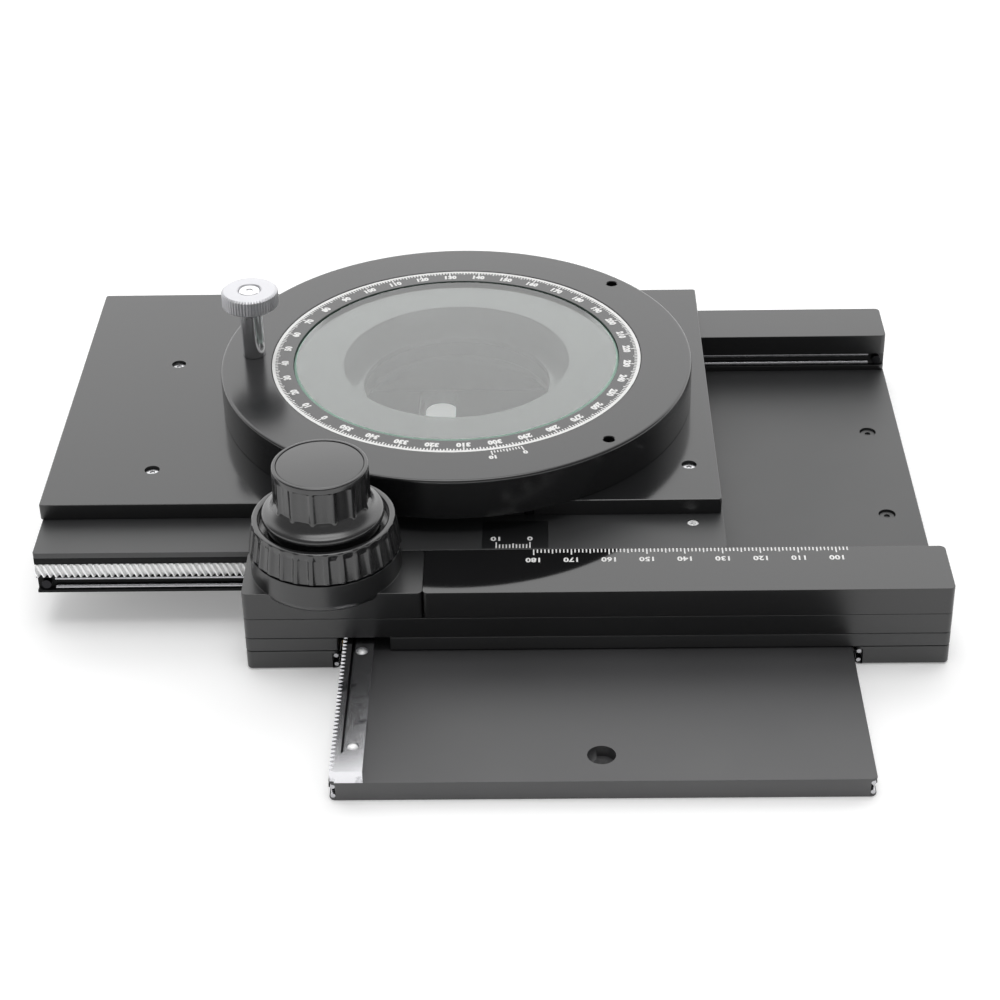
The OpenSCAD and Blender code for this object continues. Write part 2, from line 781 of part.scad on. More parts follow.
module scale_bar() color("#2a2c2e") difference() {
    round_block(housing_x1, car_x, car_y0, bar_y1, race_rail_top, bar_top, corner_r);
    for (x = front_screw_x) post(x, front_screw_y, screw_r, race_rail_top - 1, bar_top - blind_end);
}

module rear_bar() color("#2a2c2e") difference() {
    round_block(-car_x, car_x, rear_y0, car_y1, main_top, main_top + rear_bar_h, corner_r);
    x_groove(rear_y0, 1);
    for (x = rear_screw_x) post(x, rear_screw_y, screw_r, main_top - 1, main_top + rear_bar_h - blind_end);
    x_stops(-car_x, car_x, rear_race_y, 1);
}

module fixed_x_race_wires() color("silver") {
    x_wires(-car_x, car_x, front_race_y, -1);
    x_wires(-car_x, car_x, rear_race_y, 1);
}

module fixed_x_cage_stops() color("dimgray") {
    x_stops(-car_x, car_x, front_race_y, -1);
    x_stops(-car_x, car_x, rear_race_y, 1);
}

module bar_screws() color("#303234") {
    for (x = front_screw_x) screw_up(x, front_screw_y, bar_head_z(), bar_top - thread_end);
    for (x = rear_screw_x) screw_up(x, rear_screw_y, bar_head_z(), main_top + rear_bar_h - thread_end);
}

module sleeve_bush() color("#b08d4a") {
    tube(axis_x, axis_y, sleeve_bush_r, sleeve_r + run_fit, pocket_top, boss_top);
}

module shaft_bush() color("#b08d4a") {
    tube(axis_x, axis_y, shaft_bush_r, shaft_r + run_fit, main_top, race_rail_top);
}

module y_stop_pin() color("silver") {
    post(y_stop_x, y_stop_y, stop_r, base_top - stop_depth + 0.3, main_top - 1);
}

module friction_washer() color("ivory") {
    tube(axis_x, axis_y, washer_r, sleeve_r + 2 * run_fit, boss_top, boss_top + washer_t);
}

// ---- X carriage ----

module top_plate() color("#2a2c2e") difference() {
    round_block(top_x0, top_x1, top_y0, top_y1, carrier_top, top_top, 0.8);
    at_ring() post(0, 0, light_r, carrier_top - 1, top_top + 1);
    at_ring() for (x = plate_screw_x, y = plate_screw_y) {
        post(x, y, plate_head_r + rack_head_fit, top_top - plate_head_seat, top_top + 1);
        post(x, y, plate_screw_r, carrier_top - 1, top_top);
    }
    at_ring() for (a = ring_screw_a) rotate(a) screw_up_hole(ring_screw_r, 0, carrier_top + screw_back, far);
}

module carrier_plate() color("#26282a") difference() {
    round_block(carrier_x0, carrier_x1, carrier_y0, slide_y1, carrier_bottom, carrier_top, 0.8);
    at_ring() post(0, 0, light_r, carrier_bottom - 1, carrier_top + 1);
    vernier_recess();
    at_ring() for (x = plate_screw_x, y = plate_screw_y) {
        post(x, y, plate_screw_r, carrier_bottom - 1, carrier_top + 1);
    }
    set_screw_hole();
    post(x_stop_x, x_stop_y, stop_r, carrier_bottom - 1, carrier_top + 1);
    slide_screw_holes();
}

// Seat of the vernier plate in the carrier plate
module vernier_recess() {
    block(vernier_at - vernier_w / 2, vernier_at + vernier_w / 2, carrier_y0 + 0.5,
          carrier_y0 + 0.5 + vernier_d, carrier_top - vernier_t, carrier_top + 1);
}

module vernier_plate() color("#111213") {
    block(vernier_at - vernier_w / 2, vernier_at + vernier_w / 2, carrier_y0 + 0.5,
          carrier_y0 + 0.5 + vernier_d, carrier_top - vernier_t, carrier_top);
}

module set_screw_hole() {
    at_ring() post(set_screw_at[0], set_screw_at[1], set_screw_r, slide_bottom + set_screw_foot,
                   carrier_top + 1);
}

function slide_screw_y() = [slide_y0 + slide_d - 4, slide_y1 - slide_d + 4];
function slide_head_z() = slide_bottom + 0.3;
function slide_thread_z() = carrier_top - 0.5;

module slide_screw_holes() {
    for (x = slide_screw_x, y = slide_screw_y()) {
        screw_up_hole(carrier_x0 + x, y, slide_head_z(), slide_thread_z());
    }
}

// Pocket of the X rack in the front slide bar
module x_rack_pocket() {
    block(carrier_x0 - 1, carrier_x0 + x_rack_l, slide_y0 - 1, x_rack_back, x_rack_z0, x_rack_z1);
}

module front_slide_bar() color("#232527") difference() {
    block(carrier_x0, carrier_x1, slide_y0, slide_y0 + slide_d, slide_bottom, carrier_bottom);
    x_groove(slide_y0, 1);
    x_rack_pocket();
    slide_screw_holes();
    set_screw_hole();
    x_stops(carrier_x0, carrier_x1, front_race_y, 1);
    for (x = x_rack_screw_x) {
        bar_along_y(slide_y0, slide_y0 + slide_d + 1, carrier_x0 + x, rack_screw_z(), rack_screw_r);
        bar_along_y(x_rack_seat_y(), slide_y0 + slide_d + 1, carrier_x0 + x, rack_screw_z(),
                    x_rack_head_r + head_fit);
    }
}

function rack_screw_z() = (x_rack_z0 + x_rack_z1) / 2;
function x_rack_seat_y() = slide_y0 + slide_d - x_rack_head_h - x_rack_head_drop;

module rear_slide_bar() color("#232527") difference() {
    block(carrier_x0, carrier_x1, slide_y1 - slide_d, slide_y1, slide_bottom, carrier_bottom);
    x_groove(slide_y1, -1);
    slide_screw_holes();
    x_stops(carrier_x0, carrier_x1, rear_race_y, -1);
}

module x_rack() color("silver") difference() {
    block(carrier_x0, carrier_x0 + x_rack_l, x_rack_tip, x_rack_back, x_rack_z0, x_rack_z1);
    // slanted tooth spaces, one of them centred on the pinion
    first = ceil((carrier_x0 - axis_x) / x_pitch) - 2;
    last = floor((carrier_x0 + x_rack_l - axis_x) / x_pitch) + 2;
    for (i = [first : last]) {
        translate([axis_x + i * x_pitch, x_rack_line, rack_screw_z()])
        rotate([0, -helix, 0]) translate([0, 0, -x_rack_h]) linear_extrude(2 * x_rack_h)
        rotate(180) polygon(space_points(x_pitch * cos(helix)));
    }
    for (x = x_rack_screw_x) {
        bar_along_y(x_rack_back - x_rack_thread, x_rack_back + 1, carrier_x0 + x, rack_screw_z(), rack_screw_r);
    }
}

module x_rack_screws() color("dimgray") for (x = x_rack_screw_x) {
    bar_along_y(x_rack_back - x_rack_thread, x_rack_seat_y(), carrier_x0 + x, rack_screw_z(), rack_screw_r);
    bar_along_y(x_rack_seat_y(), slide_y0 + slide_d - x_rack_head_drop, carrier_x0 + x, rack_screw_z(),
                x_rack_head_r);
}

module moving_x_race_wires() color("silver") {
    x_wires(carrier_x0, carrier_x1, front_race_y, 1);
    x_wires(carrier_x0, carrier_x1, rear_race_y, -1);
}

module moving_x_cage_stops() color("silver") {
    x_stops(carrier_x0, carrier_x1, front_race_y, 1);
    x_stops(carrier_x0, carrier_x1, rear_race_y, -1);
}

module slide_bar_screws() color("#303234") {
    for (x = slide_screw_x, y = slide_screw_y()) {
        screw_up(carrier_x0 + x, y, slide_head_z(), slide_thread_z());
    }
}

module slide_set_screw() color("gray") at_ring() {
    post(set_screw_at[0], set_screw_at[1], set_screw_r, slide_bottom + set_screw_foot, carrier_top - 0.4);
}

module top_plate_screws() color("gainsboro") at_ring() {
    for (x = plate_screw_x, y = plate_screw_y) difference() {
        union() {
            post(x, y, plate_head_r, top_top - plate_head_seat, top_top - plate_screw_drop);
            post(x, y, plate_screw_r, carrier_bottom + 0.2, top_top - plate_head_seat);
        }
        translate([x, y, top_top - plate_head_seat + 0.4]) cylinder(r = 0.9, h = plate_head_seat, $fn = 6);
    }
}

module ring_housing() color("#2d2f31") difference() {
    at_ring() rotate_extrude() polygon([
        [light_r, top_top], [ring_r, top_top], [ring_r, ring_top - 0.5], [ring_r - 0.5, ring_top],
        [recess_wall, ring_top], [recess_wall, floor_top], [light_r, floor_top]]);
    at_ring() for (s = [-1, 1]) rotate(s * clip_angle + ring_turn) {
        post(clip_r, 0, clip_hole_r, ring_top - clip_hole_depth, ring_top + 1);
    }
    at_ring() for (a = ring_screw_a) rotate(a) {
        post(ring_screw_r, 0, screw_r, top_top - 1, top_top + ring_thread + 0.5);
    }
    at_ring() rotate(lock_angle) {
        post(lock_at, 0, lock_hole_r + run_fit, lock_tip_z - 0.3, ring_top + 1);
        bar_along_x(recess_wall - 1, lock_at, 0, brake_z, brake_r);
    }
}

module ring_screws() color("#303234") at_ring() for (a = ring_screw_a) rotate(a) {
    screw_up(ring_screw_r, 0, carrier_top + screw_back, top_top + ring_thread);
}

module brake_plunger() color("#b08d4a") at_ring() rotate(lock_angle) {
    bar_along_x(recess_wall, lock_at - lock_hole_r - run_fit, 0, brake_z, brake_r);
}

module dial_bearing_ring() color("ivory") {
    at_ring() tube(0, 0, recess_wall - bearing_in, recess_wall - bearing_in - bearing_w, floor_top,
                   floor_top + bearing_t);
}

module x_stop_pin() color("silver") {
    post(x_stop_x, x_stop_y, stop_r, main_top - stop_depth + 0.3, carrier_top);
}

// ---- dial ----

module dial_ring() color("#202224") at_ring() rotate_extrude() polygon([
    [dial_bore_r, dial_z0], [dial_r, dial_z0], [dial_r, dial_z1], [glass_r + 0.1, dial_z1],
    [glass_r + 0.1, glass_z0], [dial_bore_r, glass_z0]]);

module stage_glass() color([0.75, 0.87, 0.83, 0.4]) {
    at_ring() post(0, 0, glass_r, glass_z0, glass_z0 + glass_t);
}

// ---- lock screw ----

// Outline with small straight ridges
function ridge_points(r, depth, n) =
    [for (i = [0 : 2 * n - 1]) (i % 2 == 0 ? r : r - depth) * [cos(180 * i / n), sin(180 * i / n)]];

module lock_knob() color("gainsboro") at_ring() rotate(lock_angle) translate([lock_at, 0, ring_top + lock_rise]) {
    difference() {
        intersection() {
            linear_extrude(lock_h) polygon(ridge_points(lock_r, 0.3, lock_ridges));
            rotate_extrude() polygon([[0, 0], [lock_r - 0.8, 0], [lock_r + 0.1, 0.9],
                                      [lock_r + 0.1, lock_h - 0.9], [lock_r - 0.8, lock_h], [0, lock_h]]);
        }
        translate([0, 0, -1]) cylinder(r = stem_r, h = lock_h + 2);
    }
}

module lock_stem() color("silver") at_ring() rotate(lock_angle) translate([lock_at, 0, 0]) {
    post(0, 0, stem_r, ring_top + 0.1, ring_top + lock_rise + lock_h - 0.2);
    post(0, 0, lock_hole_r, lock_tip_z + 1, ring_top + 0.1);
    translate([0, 0, lock_tip_z]) cylinder(r1 = lock_hole_r - 1, r2 = lock_hole_r, h = 1);
}

// ---- knobs ----

module x_knob() color("#18191a") at_knobs() difference() {
    rotate_extrude() polygon([
        [sleeve_r, big_z0], [big_r - 0.3, big_z0], [big_r, big_z0 + 0.4],
        [big_top_r, big_z1 - 0.9], [big_top_r - 0.8, big_z1], [recess_r + 0.3, big_z1],
        [recess_r, big_z1 - 0.4], [recess_r, recess_z], [sleeve_r, recess_z]]);
    // shallow flutes between the ribs, leaning in with the knob's side
    lean = atan((big_r - big_top_r) / (big_h - 1.3));
    for (i = [0 : big_ribs - 1]) rotate((i + 0.5) * 360 / big_ribs) {
        translate([big_r + rib_cut_out, 0, big_z0 - 1]) rotate([0, -lean, 0]) {
            cylinder(r = rib_cut_r, h = big_h + 2, $fn = 24);
        }
    }
    translate([0, 0, big_z0 + 2.6]) rotate([-90, 0, 0]) cylinder(r = screw_r, h = big_r + 1);
}

module x_sleeve_shaft() color("silver") {
    tube(axis_x, axis_y, sleeve_r, shaft_r + run_fit, x_pinion_z0, recess_z);
}

module x_pinion() color("silver") at_knobs() translate([0, 0, x_pinion_z0]) {
    turn = x_pinion_h * tan(helix) / x_pinion_r * 180 / PI;
    // the tooth that meets the rack is upright half way up the rack
    start = 90 - (rack_screw_z() - x_pinion_z0) / x_pinion_h * turn;
    rotate(start) linear_extrude(x_pinion_h, twist = -turn, slices = 3) difference() {
        polygon(pinion_points(x_pinion_r, x_teeth));
        circle(sleeve_r, $fn = 48);
    }
}

module x_knob_grub_screw() color("dimgray") at_knobs() difference() {
    translate([0, 0, big_z0 + 2.6]) rotate([-90, 0, 0]) translate([0, 0, sleeve_r]) cylinder(r = screw_r, h = 6);
    post(0, 0, sleeve_r, big_z0, big_z1);
}

module y_knob() color("#18191a") at_knobs() difference() {
    rotate_extrude() polygon([
        [shaft_r, small_z0], [flange_r, small_z0], [flange_r, flange_z1 - 0.6],
        [flange_r - 0.6, flange_z1], [small_r + 1.2, flange_z1], [small_r, flange_z1 + 1.2],
        [small_r - 0.3, small_z1 - 0.8], [small_r - 0.9, small_z1], [cap_r, small_z1], [cap_r, cap_z0],
        [pocket_r, cap_z0], [pocket_r, shaft_top + 1], [cap_screw_r, shaft_top + 1],
        [cap_screw_r, shaft_top], [shaft_r, shaft_top]]);
    for (i = [0 : small_flutes - 1]) rotate(i * 360 / small_flutes + flute_turn) {
        post(small_r + flute_out, 0, flute_r, flange_z1 + flute_rise, small_z1 - flute_drop, $fn = 36);
    }
}

module y_knob_cap() color("#151617") {
    at_knobs() post(0, 0, cap_r, cap_z0, small_z1 - 0.1);
}

module y_shaft() color("silver") at_knobs() difference() {
    post(0, 0, shaft_r, y_pinion_z0, shaft_top);
    post(0, 0, cap_screw_r, shaft_top - cap_screw_l + 1, shaft_top + 1);
}

module y_pinion() color("silver") at_knobs() translate([0, 0, y_pinion_z0]) {
    linear_extrude(y_pinion_h) difference() {
        polygon(pinion_points(y_pinion_r, y_teeth));
        circle(shaft_r);
    }
}

module y_cap_screw() color("dimgray") at_knobs() {
    post(0, 0, cap_screw_r, shaft_top - cap_screw_l + 1, shaft_top + 1);
    post(0, 0, cap_head_r, shaft_top + 1, shaft_top + 1 + cap_head_h);
}

// ---- balls and cages ----

module x_ball_cages() color("#b08d4a") for (y = [front_race_y, rear_race_y]) difference() {
    block(x_cage_mid - cage_l / 2, x_cage_mid + cage_l / 2, y - cage_t / 2, y + cage_t / 2,
          x_race_z - cage_h / 2, x_race_z + cage_h / 2);
    for (i = [0 : ball_count - 1]) bar_along_y(y - 1, y + 1, x_cage_mid + ball_at(i), x_race_z, ball_r + 0.05);
}

module x_race_balls() color("silver") for (y = [front_race_y, rear_race_y], i = [0 : ball_count - 1]) {
    translate([x_cage_mid + ball_at(i), y, x_race_z]) sphere(ball_r);
}

module y_ball_cages() color("#b08d4a") for (x = [-y_race_x, y_race_x]) difference() {
    block(x - cage_t / 2, x + cage_t / 2, y_cage_mid - cage_l / 2, y_cage_mid + cage_l / 2,
          y_race_z - cage_h / 2, y_race_z + cage_h / 2);
    for (i = [0 : ball_count - 1]) bar_along_x(x - 1, x + 1, y_cage_mid + ball_at(i), y_race_z, ball_r + 0.05);
}

module y_race_balls() color("silver") for (x = [-y_race_x, y_race_x], i = [0 : ball_count - 1]) {
    translate([x, y_cage_mid + ball_at(i), y_race_z]) sphere(ball_r);
}

base_plate();
y_rack();
y_rack_screws();
base_race_wires();
base_cage_stops();
main_plate();
left_side_rail();
right_side_rail();
side_rail_screws();
side_rail_wires();
side_rail_cage_stops();
front_race_rail();
drive_housing();
scale_bar();
rear_bar();
fixed_x_race_wires();
fixed_x_cage_stops();
bar_screws();
sleeve_bush();
shaft_bush();
y_stop_pin();
friction_washer();
top_plate();
carrier_plate();
vernier_plate();
front_slide_bar();
rear_slide_bar();
x_rack();
x_rack_screws();
moving_x_race_wires();
moving_x_cage_stops();
slide_bar_screws();
slide_set_screw();
top_plate_screws();
ring_housing();
ring_screws();
brake_plunger();
dial_bearing_ring();
x_stop_pin();
dial_ring();
stage_glass();
lock_knob();
lock_stem();
x_knob();
x_sleeve_shaft();
x_pinion();
x_knob_grub_screw();
y_knob();
y_knob_cap();
y_shaft();
y_pinion();
y_cap_screw();
x_ball_cages();
x_race_balls();
y_ball_cages();
y_race_balls();
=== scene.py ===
"""The looks of an attachable two-axis microscope stage with a rotating graduated glass insert.

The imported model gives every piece's place and size. This script breaks its edges, cuts its knobs and
knurls, prints its scales, gives every surface its finish, and lights it on a pale table.
"""

import json
import logging
import math
from dataclasses import dataclass, field
from enum import Enum
from typing import Any, Sequence

import bmesh
import bpy
from mathutils import Matrix, Vector

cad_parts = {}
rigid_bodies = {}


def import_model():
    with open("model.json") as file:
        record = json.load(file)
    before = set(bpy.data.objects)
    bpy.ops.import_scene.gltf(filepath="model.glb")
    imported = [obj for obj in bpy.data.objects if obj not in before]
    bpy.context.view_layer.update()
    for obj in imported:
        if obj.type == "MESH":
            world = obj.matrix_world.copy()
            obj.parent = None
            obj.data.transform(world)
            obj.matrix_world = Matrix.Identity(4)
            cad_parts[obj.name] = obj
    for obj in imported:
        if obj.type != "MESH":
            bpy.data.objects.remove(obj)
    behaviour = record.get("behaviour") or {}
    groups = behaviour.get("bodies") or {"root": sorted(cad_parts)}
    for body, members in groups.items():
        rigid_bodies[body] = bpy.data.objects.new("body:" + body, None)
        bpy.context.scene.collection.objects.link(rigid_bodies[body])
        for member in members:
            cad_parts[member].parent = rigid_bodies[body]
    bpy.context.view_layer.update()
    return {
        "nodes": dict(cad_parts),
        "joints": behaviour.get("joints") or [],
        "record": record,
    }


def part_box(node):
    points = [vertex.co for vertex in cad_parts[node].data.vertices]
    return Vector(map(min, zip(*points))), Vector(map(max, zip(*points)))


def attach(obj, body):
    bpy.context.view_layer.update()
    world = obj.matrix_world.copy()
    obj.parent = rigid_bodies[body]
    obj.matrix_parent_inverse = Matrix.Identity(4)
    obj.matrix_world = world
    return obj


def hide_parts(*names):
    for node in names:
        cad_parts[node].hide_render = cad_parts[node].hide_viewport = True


for leftover in list(bpy.data.objects):
    bpy.data.objects.remove(leftover)

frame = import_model()

LOG = logging.getLogger("stage")
MM = 0.001
# Points nearer than this are one point, in metres.
WELD = 2e-6
# Faces that meet at more than this angle show an edge.
SHARP = math.radians(30)
# Edges that hang together over less than this, in metres, are left unbroken.
SMALL_RUN = 9e-3
# How thick the printed paint lies.
PRINT_MM = 0.03

Ring = list[Vector]


# ---------------------------------------------------------------- small tools


def srgb(code: str) -> tuple[float, float, float, float]:
    """Turns an sRGB hex colour into the linear one that a shader's socket takes.

    Args:
        code: The colour, such as "#1a2b3c".

    Returns:
        Linear red, green and blue, and an alpha of 1.
    """
    parts = [int(code[i : i + 2], 16) / 255 for i in (1, 3, 5)]
    linear = [c / 12.92 if c <= 0.04045 else ((c + 0.055) / 1.055) ** 2.4 for c in parts]
    return (linear[0], linear[1], linear[2], 1.0)


def add_node(
    tree: bpy.types.NodeTree,
    kind: str,
    settings: dict[str, Any] | None = None,
    inputs: dict[Any, Any] | None = None,
) -> bpy.types.Node:
    """Adds a node with its settings and its inputs, which are values or other nodes' outputs.

    Args:
        tree: The shader or geometry tree that gets the node.
        kind: The node's type name.
        settings: Attributes to set on the node.
        inputs: Values, or sockets to link from, by input name or number.

    Returns:
        The new node.
    """
    node = tree.nodes.new(kind)
    for key, value in (settings or {}).items():
        setattr(node, key, value)
    for key, value in (inputs or {}).items():
        if isinstance(value, bpy.types.NodeSocket):
            tree.links.new(value, node.inputs[key])
        else:
            node.inputs[key].default_value = value
    return node


def joint_point(name: str) -> Vector:
    """A point on the axis of one of the frame's hinges, in metres."""
    found = next(j for j in frame["joints"] if j["name"] == name)
    return Vector(found["pos_m"])


def circle(radius: float, height: float, count: int) -> Ring:
    """A level ring of points about the Z axis."""
    turns = [2 * math.pi * i / count for i in range(count)]
    return [Vector((radius * math.cos(a), radius * math.sin(a), height)) for a in turns]


def polygon_ring(across: float, sides: int, height: float, count: int) -> Ring:
    """A level ring of points that run along a regular polygon, such as a hexagon socket's edge.

    Args:
        across: Distance between opposite flats.
        sides: Number of sides.
        height: Height of the ring.
        count: Number of points, a multiple of sides.

    Returns:
        The ring.
    """
    points = []
    for i in range(count):
        a = 2 * math.pi * i / count
        within = (a + math.pi / sides) % (2 * math.pi / sides) - math.pi / sides
        radius = across / 2 / math.cos(within)
        points.append(Vector((radius * math.cos(a), radius * math.sin(a), height)))
    return points


def loft(rings: Sequence[Ring], closed: bool = False) -> bmesh.types.BMesh:
    """Skins a run of rings that have equally many points.

    Args:
        rings: The rings, in order.
        closed: Whether the last ring joins the first, as in a tube's wall. Otherwise both ends get
            a face.

    Returns:
        The skin, with its faces pointing outwards.
    """
    bm = bmesh.new()
    made = [[bm.verts.new(p) for p in ring] for ring in rings]
    pairs = list(zip(made, made[1:]))
    if closed:
        pairs.append((made[-1], made[0]))
    for low, high in pairs:
        for i in range(len(low)):
            j = (i + 1) % len(low)
            bm.faces.new((low[i], low[j], high[j], high[i]))
    if not closed:
        bm.faces.new(list(reversed(made[0])))
        bm.faces.new(made[-1])
    bmesh.ops.recalc_face_normals(bm, faces=bm.faces)
    return bm


def sector(columns: Sequence[Ring]) -> bmesh.types.BMesh:
    """Skins one sector of a shape that repeats round the Z axis, open on its two sides.

    Args:
        columns: Closed upright outlines with equally many points, in order round the axis.

    Returns:
        The skin, with its faces pointing outwards.
    """
    bm = bmesh.new()
    made = [[bm.verts.new(p) for p in column] for column in columns]
    for left, right in zip(made, made[1:]):
        for i in range(len(left)):
            j = (i + 1) % len(left)
            bm.faces.new((left[i], right[i], right[j], left[j]))
    bmesh.ops.recalc_face_normals(bm, faces=bm.faces)
    return bm


def rounded(
    profile: Sequence[tuple[float, float, float]], steps: int = 4
) -> list[tuple[float, float]]:
    """Rounds the corners of a closed outline.

    Args:
        profile: Corners as (radius, height, rounding), all in millimetres.
        steps: Number of chords in each rounding.

    Returns:
        The outline's points.
    """
    outline = []
    count = len(profile)
    for i, (x, y, r) in enumerate(profile):
        here = Vector((x, y))
        if r <= 0:
            outline.append((x, y))
            continue
        before = Vector(profile[i - 1][:2]) - here
        after = Vector(profile[(i + 1) % count][:2]) - here
        reach = min(r, 0.49 * before.length, 0.49 * after.length)
        start, end = here + before.normalized() * reach, here + after.normalized() * reach
        for k in range(steps + 1):
            t = k / steps
            point = start * (1 - t) ** 2 + here * (2 * t * (1 - t)) + end * t**2
            outline.append((point.x, point.y))
    return outline


def turned(outline: Sequence[tuple[float, float]], centre: Vector, count: int) -> bmesh.types.BMesh:
    """Turns a closed outline, in millimetres, about an upright axis.

    Args:
        outline: Points as (radius, height).
        centre: A point on the axis, in metres. Heights count from zero, not from it.
        count: Number of facets round the axis.

    Returns:
        The turned solid.
    """
    on_axis = any(r < 1e-6 for r, _ in outline)
    rings = [circle(max(r, 1e-6) * MM, z * MM, count) for r, z in outline]
    bm = loft(rings, closed=not on_axis)
    bmesh.ops.remove_doubles(bm, verts=bm.verts, dist=WELD)
    bmesh.ops.recalc_face_normals(bm, faces=bm.faces)
    bmesh.ops.translate(bm, verts=bm.verts, vec=(centre.x, centre.y, 0))
    return bm


def to_mesh(bm: bmesh.types.BMesh, name: str) -> bpy.types.Mesh:
    """Turns edited geometry into a mesh, smooth but for its sharp edges.

    Args:
        bm: The geometry, which is used up.
        name: The mesh's name.

    Returns:
        The mesh.
    """
    mesh = bpy.data.meshes.new(name)
    bm.to_mesh(mesh)
    bm.free()
    mesh.shade_smooth()
    mesh.set_sharp_from_angle(angle=SHARP)
    return mesh


def show(
    shape: bpy.types.Mesh | bmesh.types.BMesh,
    name: str,
    body: str,
    material: bpy.types.Material | None,
    replaces: Sequence[str] = (),
) -> bpy.types.Object:
    """Puts a finished shape into the scene, on the body that carries it.

    Args:
        shape: The mesh or the edited geometry, already in its place. Geometry is used up.
        name: The piece's name.
        body: The CAD body that it rides on.
        material: Its finish, or None where the mesh already has one.
        replaces: CAD nodes that it stands for.

    Returns:
        The piece.
    """
    mesh = shape if isinstance(shape, bpy.types.Mesh) else to_mesh(shape, name)
    piece = bpy.data.objects.new(name, mesh)
    bpy.context.scene.collection.objects.link(piece)
    if material is not None:
        mesh.materials.clear()
        mesh.materials.append(material)
    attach(piece, body)
    if replaces:
        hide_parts(*replaces)
    LOG.info("%s: %d faces, on %s", name, len(mesh.polygons), body)
    return piece


def edge_runs(edges: Sequence[bmesh.types.BMEdge]) -> list[list[bmesh.types.BMEdge]]:
    """Sorts edges into runs that hang together.

    Args:
        edges: The edges to sort.

    Returns:
        The runs.
    """
    waiting = set(edges)
    runs = []
    while waiting:
        run, front = [], [waiting.pop()]
        while front:
            edge = front.pop()
            run.append(edge)
            near = {e for v in edge.verts for e in v.link_edges} & waiting
            waiting -= near
            front.extend(near)
        runs.append(run)
    return runs


def run_size(run: Sequence[bmesh.types.BMEdge]) -> float:
    """The longest side of the box round a run of edges, in metres."""
    points = [v.co for e in run for v in e.verts]
    return max(max(p[i] for p in points) - min(p[i] for p in points) for i in range(3))


def edge_broken(bm: bmesh.types.BMesh, name: str, round_mm: float) -> bpy.types.Mesh:
    """Rounds a solid's sharp outer edges, and keeps its flat faces flat to the eye.

    Args:
        bm: The solid, which is used up.
        name: The new mesh's name.
        round_mm: How far the rounding reaches on each face.

    Returns:
        The new mesh.
    """
    sharp = [e for e in bm.edges if len(e.link_faces) == 2 and e.calc_face_angle(0) > SHARP]
    long_runs = [e for run in edge_runs(sharp) if run_size(run) > SMALL_RUN for e in run]
    bmesh.ops.bevel(
        bm,
        geom=long_runs,
        offset=round_mm * MM,
        offset_type="OFFSET",
        segments=2,
        profile=0.5,
        affect="EDGES",
        clamp_overlap=False,
    )
    return flattened(to_mesh(bm, name))


def flattened(mesh: bpy.types.Mesh) -> bpy.types.Mesh:
    """Weights a mesh's normals by face area, so that small roundings don't shade the large flat faces.

    Args:
        mesh: The mesh, which is used up.

    Returns:
        The same shape with weighted normals.
    """
    holder = bpy.data.objects.new(mesh.name, mesh)
    bpy.context.scene.collection.objects.link(holder)
    modifier = holder.modifiers.new("weights", "WEIGHTED_NORMAL")
    modifier.keep_sharp = True
    modifier.weight = 100
    graph = bpy.context.evaluated_depsgraph_get()
    result = bpy.data.meshes.new_from_object(
        holder.evaluated_get(graph), preserve_all_data_layers=True, depsgraph=graph
    )
    bpy.data.objects.remove(holder)
    return result


def node_solid(node: str) -> bmesh.types.BMesh:
    """A CAD node's welded solid, with the triangles of each flat face joined.

    Args:
        node: The CAD node's name.

    Returns:
        The solid, as new geometry.
    """
    bm = bmesh.new()
    bm.from_mesh(frame["nodes"][node].data)
    bmesh.ops.remove_doubles(bm, verts=bm.verts, dist=WELD)
    bmesh.ops.dissolve_limit(
        bm, angle_limit=math.radians(0.5), use_dissolve_boundaries=False, verts=bm.verts, edges=bm.edges
    )
    return bm


def bored(mesh: bpy.types.Mesh, cutter: bmesh.types.BMesh) -> bmesh.types.BMesh:
    """Cuts one solid out of another.

    Args:
        mesh: The solid that is cut.
        cutter: The solids to take away, which are used up.

    Returns:
        The cut solid.
    """
    tool = bpy.data.objects.new("cutter", to_mesh(cutter, "cutter"))
    holder = bpy.data.objects.new(mesh.name, mesh)
    for piece in (tool, holder):
        bpy.context.scene.collection.objects.link(piece)
    modifier = holder.modifiers.new("bore", "BOOLEAN")
    modifier.operation = "DIFFERENCE"
    modifier.solver = "EXACT"
    modifier.object = tool
    graph = bpy.context.evaluated_depsgraph_get()
    cut = bpy.data.meshes.new_from_object(holder.evaluated_get(graph))
    for piece in (tool, holder):
        bpy.data.objects.remove(piece)
    bm = bmesh.new()
    bm.from_mesh(cut)
    bpy.data.meshes.remove(cut)
    return bm


def text_mesh(text: str, bold: float) -> bpy.types.Mesh:
    """Text of the built-in font, one unit in size, as a thin solid about the Z axis.

    Args:
        text: The digits.
        bold: How far the strokes are thickened, as a share of the font's size.

    Returns:
        The mesh.
    """
    curve = bpy.data.curves.new("numeral", "FONT")
    curve.body = text
    curve.size = 1.0
    curve.align_x = "CENTER"
    curve.resolution_u = 3
    curve.extrude = 0.5
    curve.space_character = 1.06
    curve.offset = bold
    holder = bpy.data.objects.new("numeral", curve)
    bpy.context.scene.collection.objects.link(holder)
    graph = bpy.context.evaluated_depsgraph_get()
    mesh = bpy.data.meshes.new_from_object(holder.evaluated_get(graph))
    bpy.data.objects.remove(holder)
    return mesh


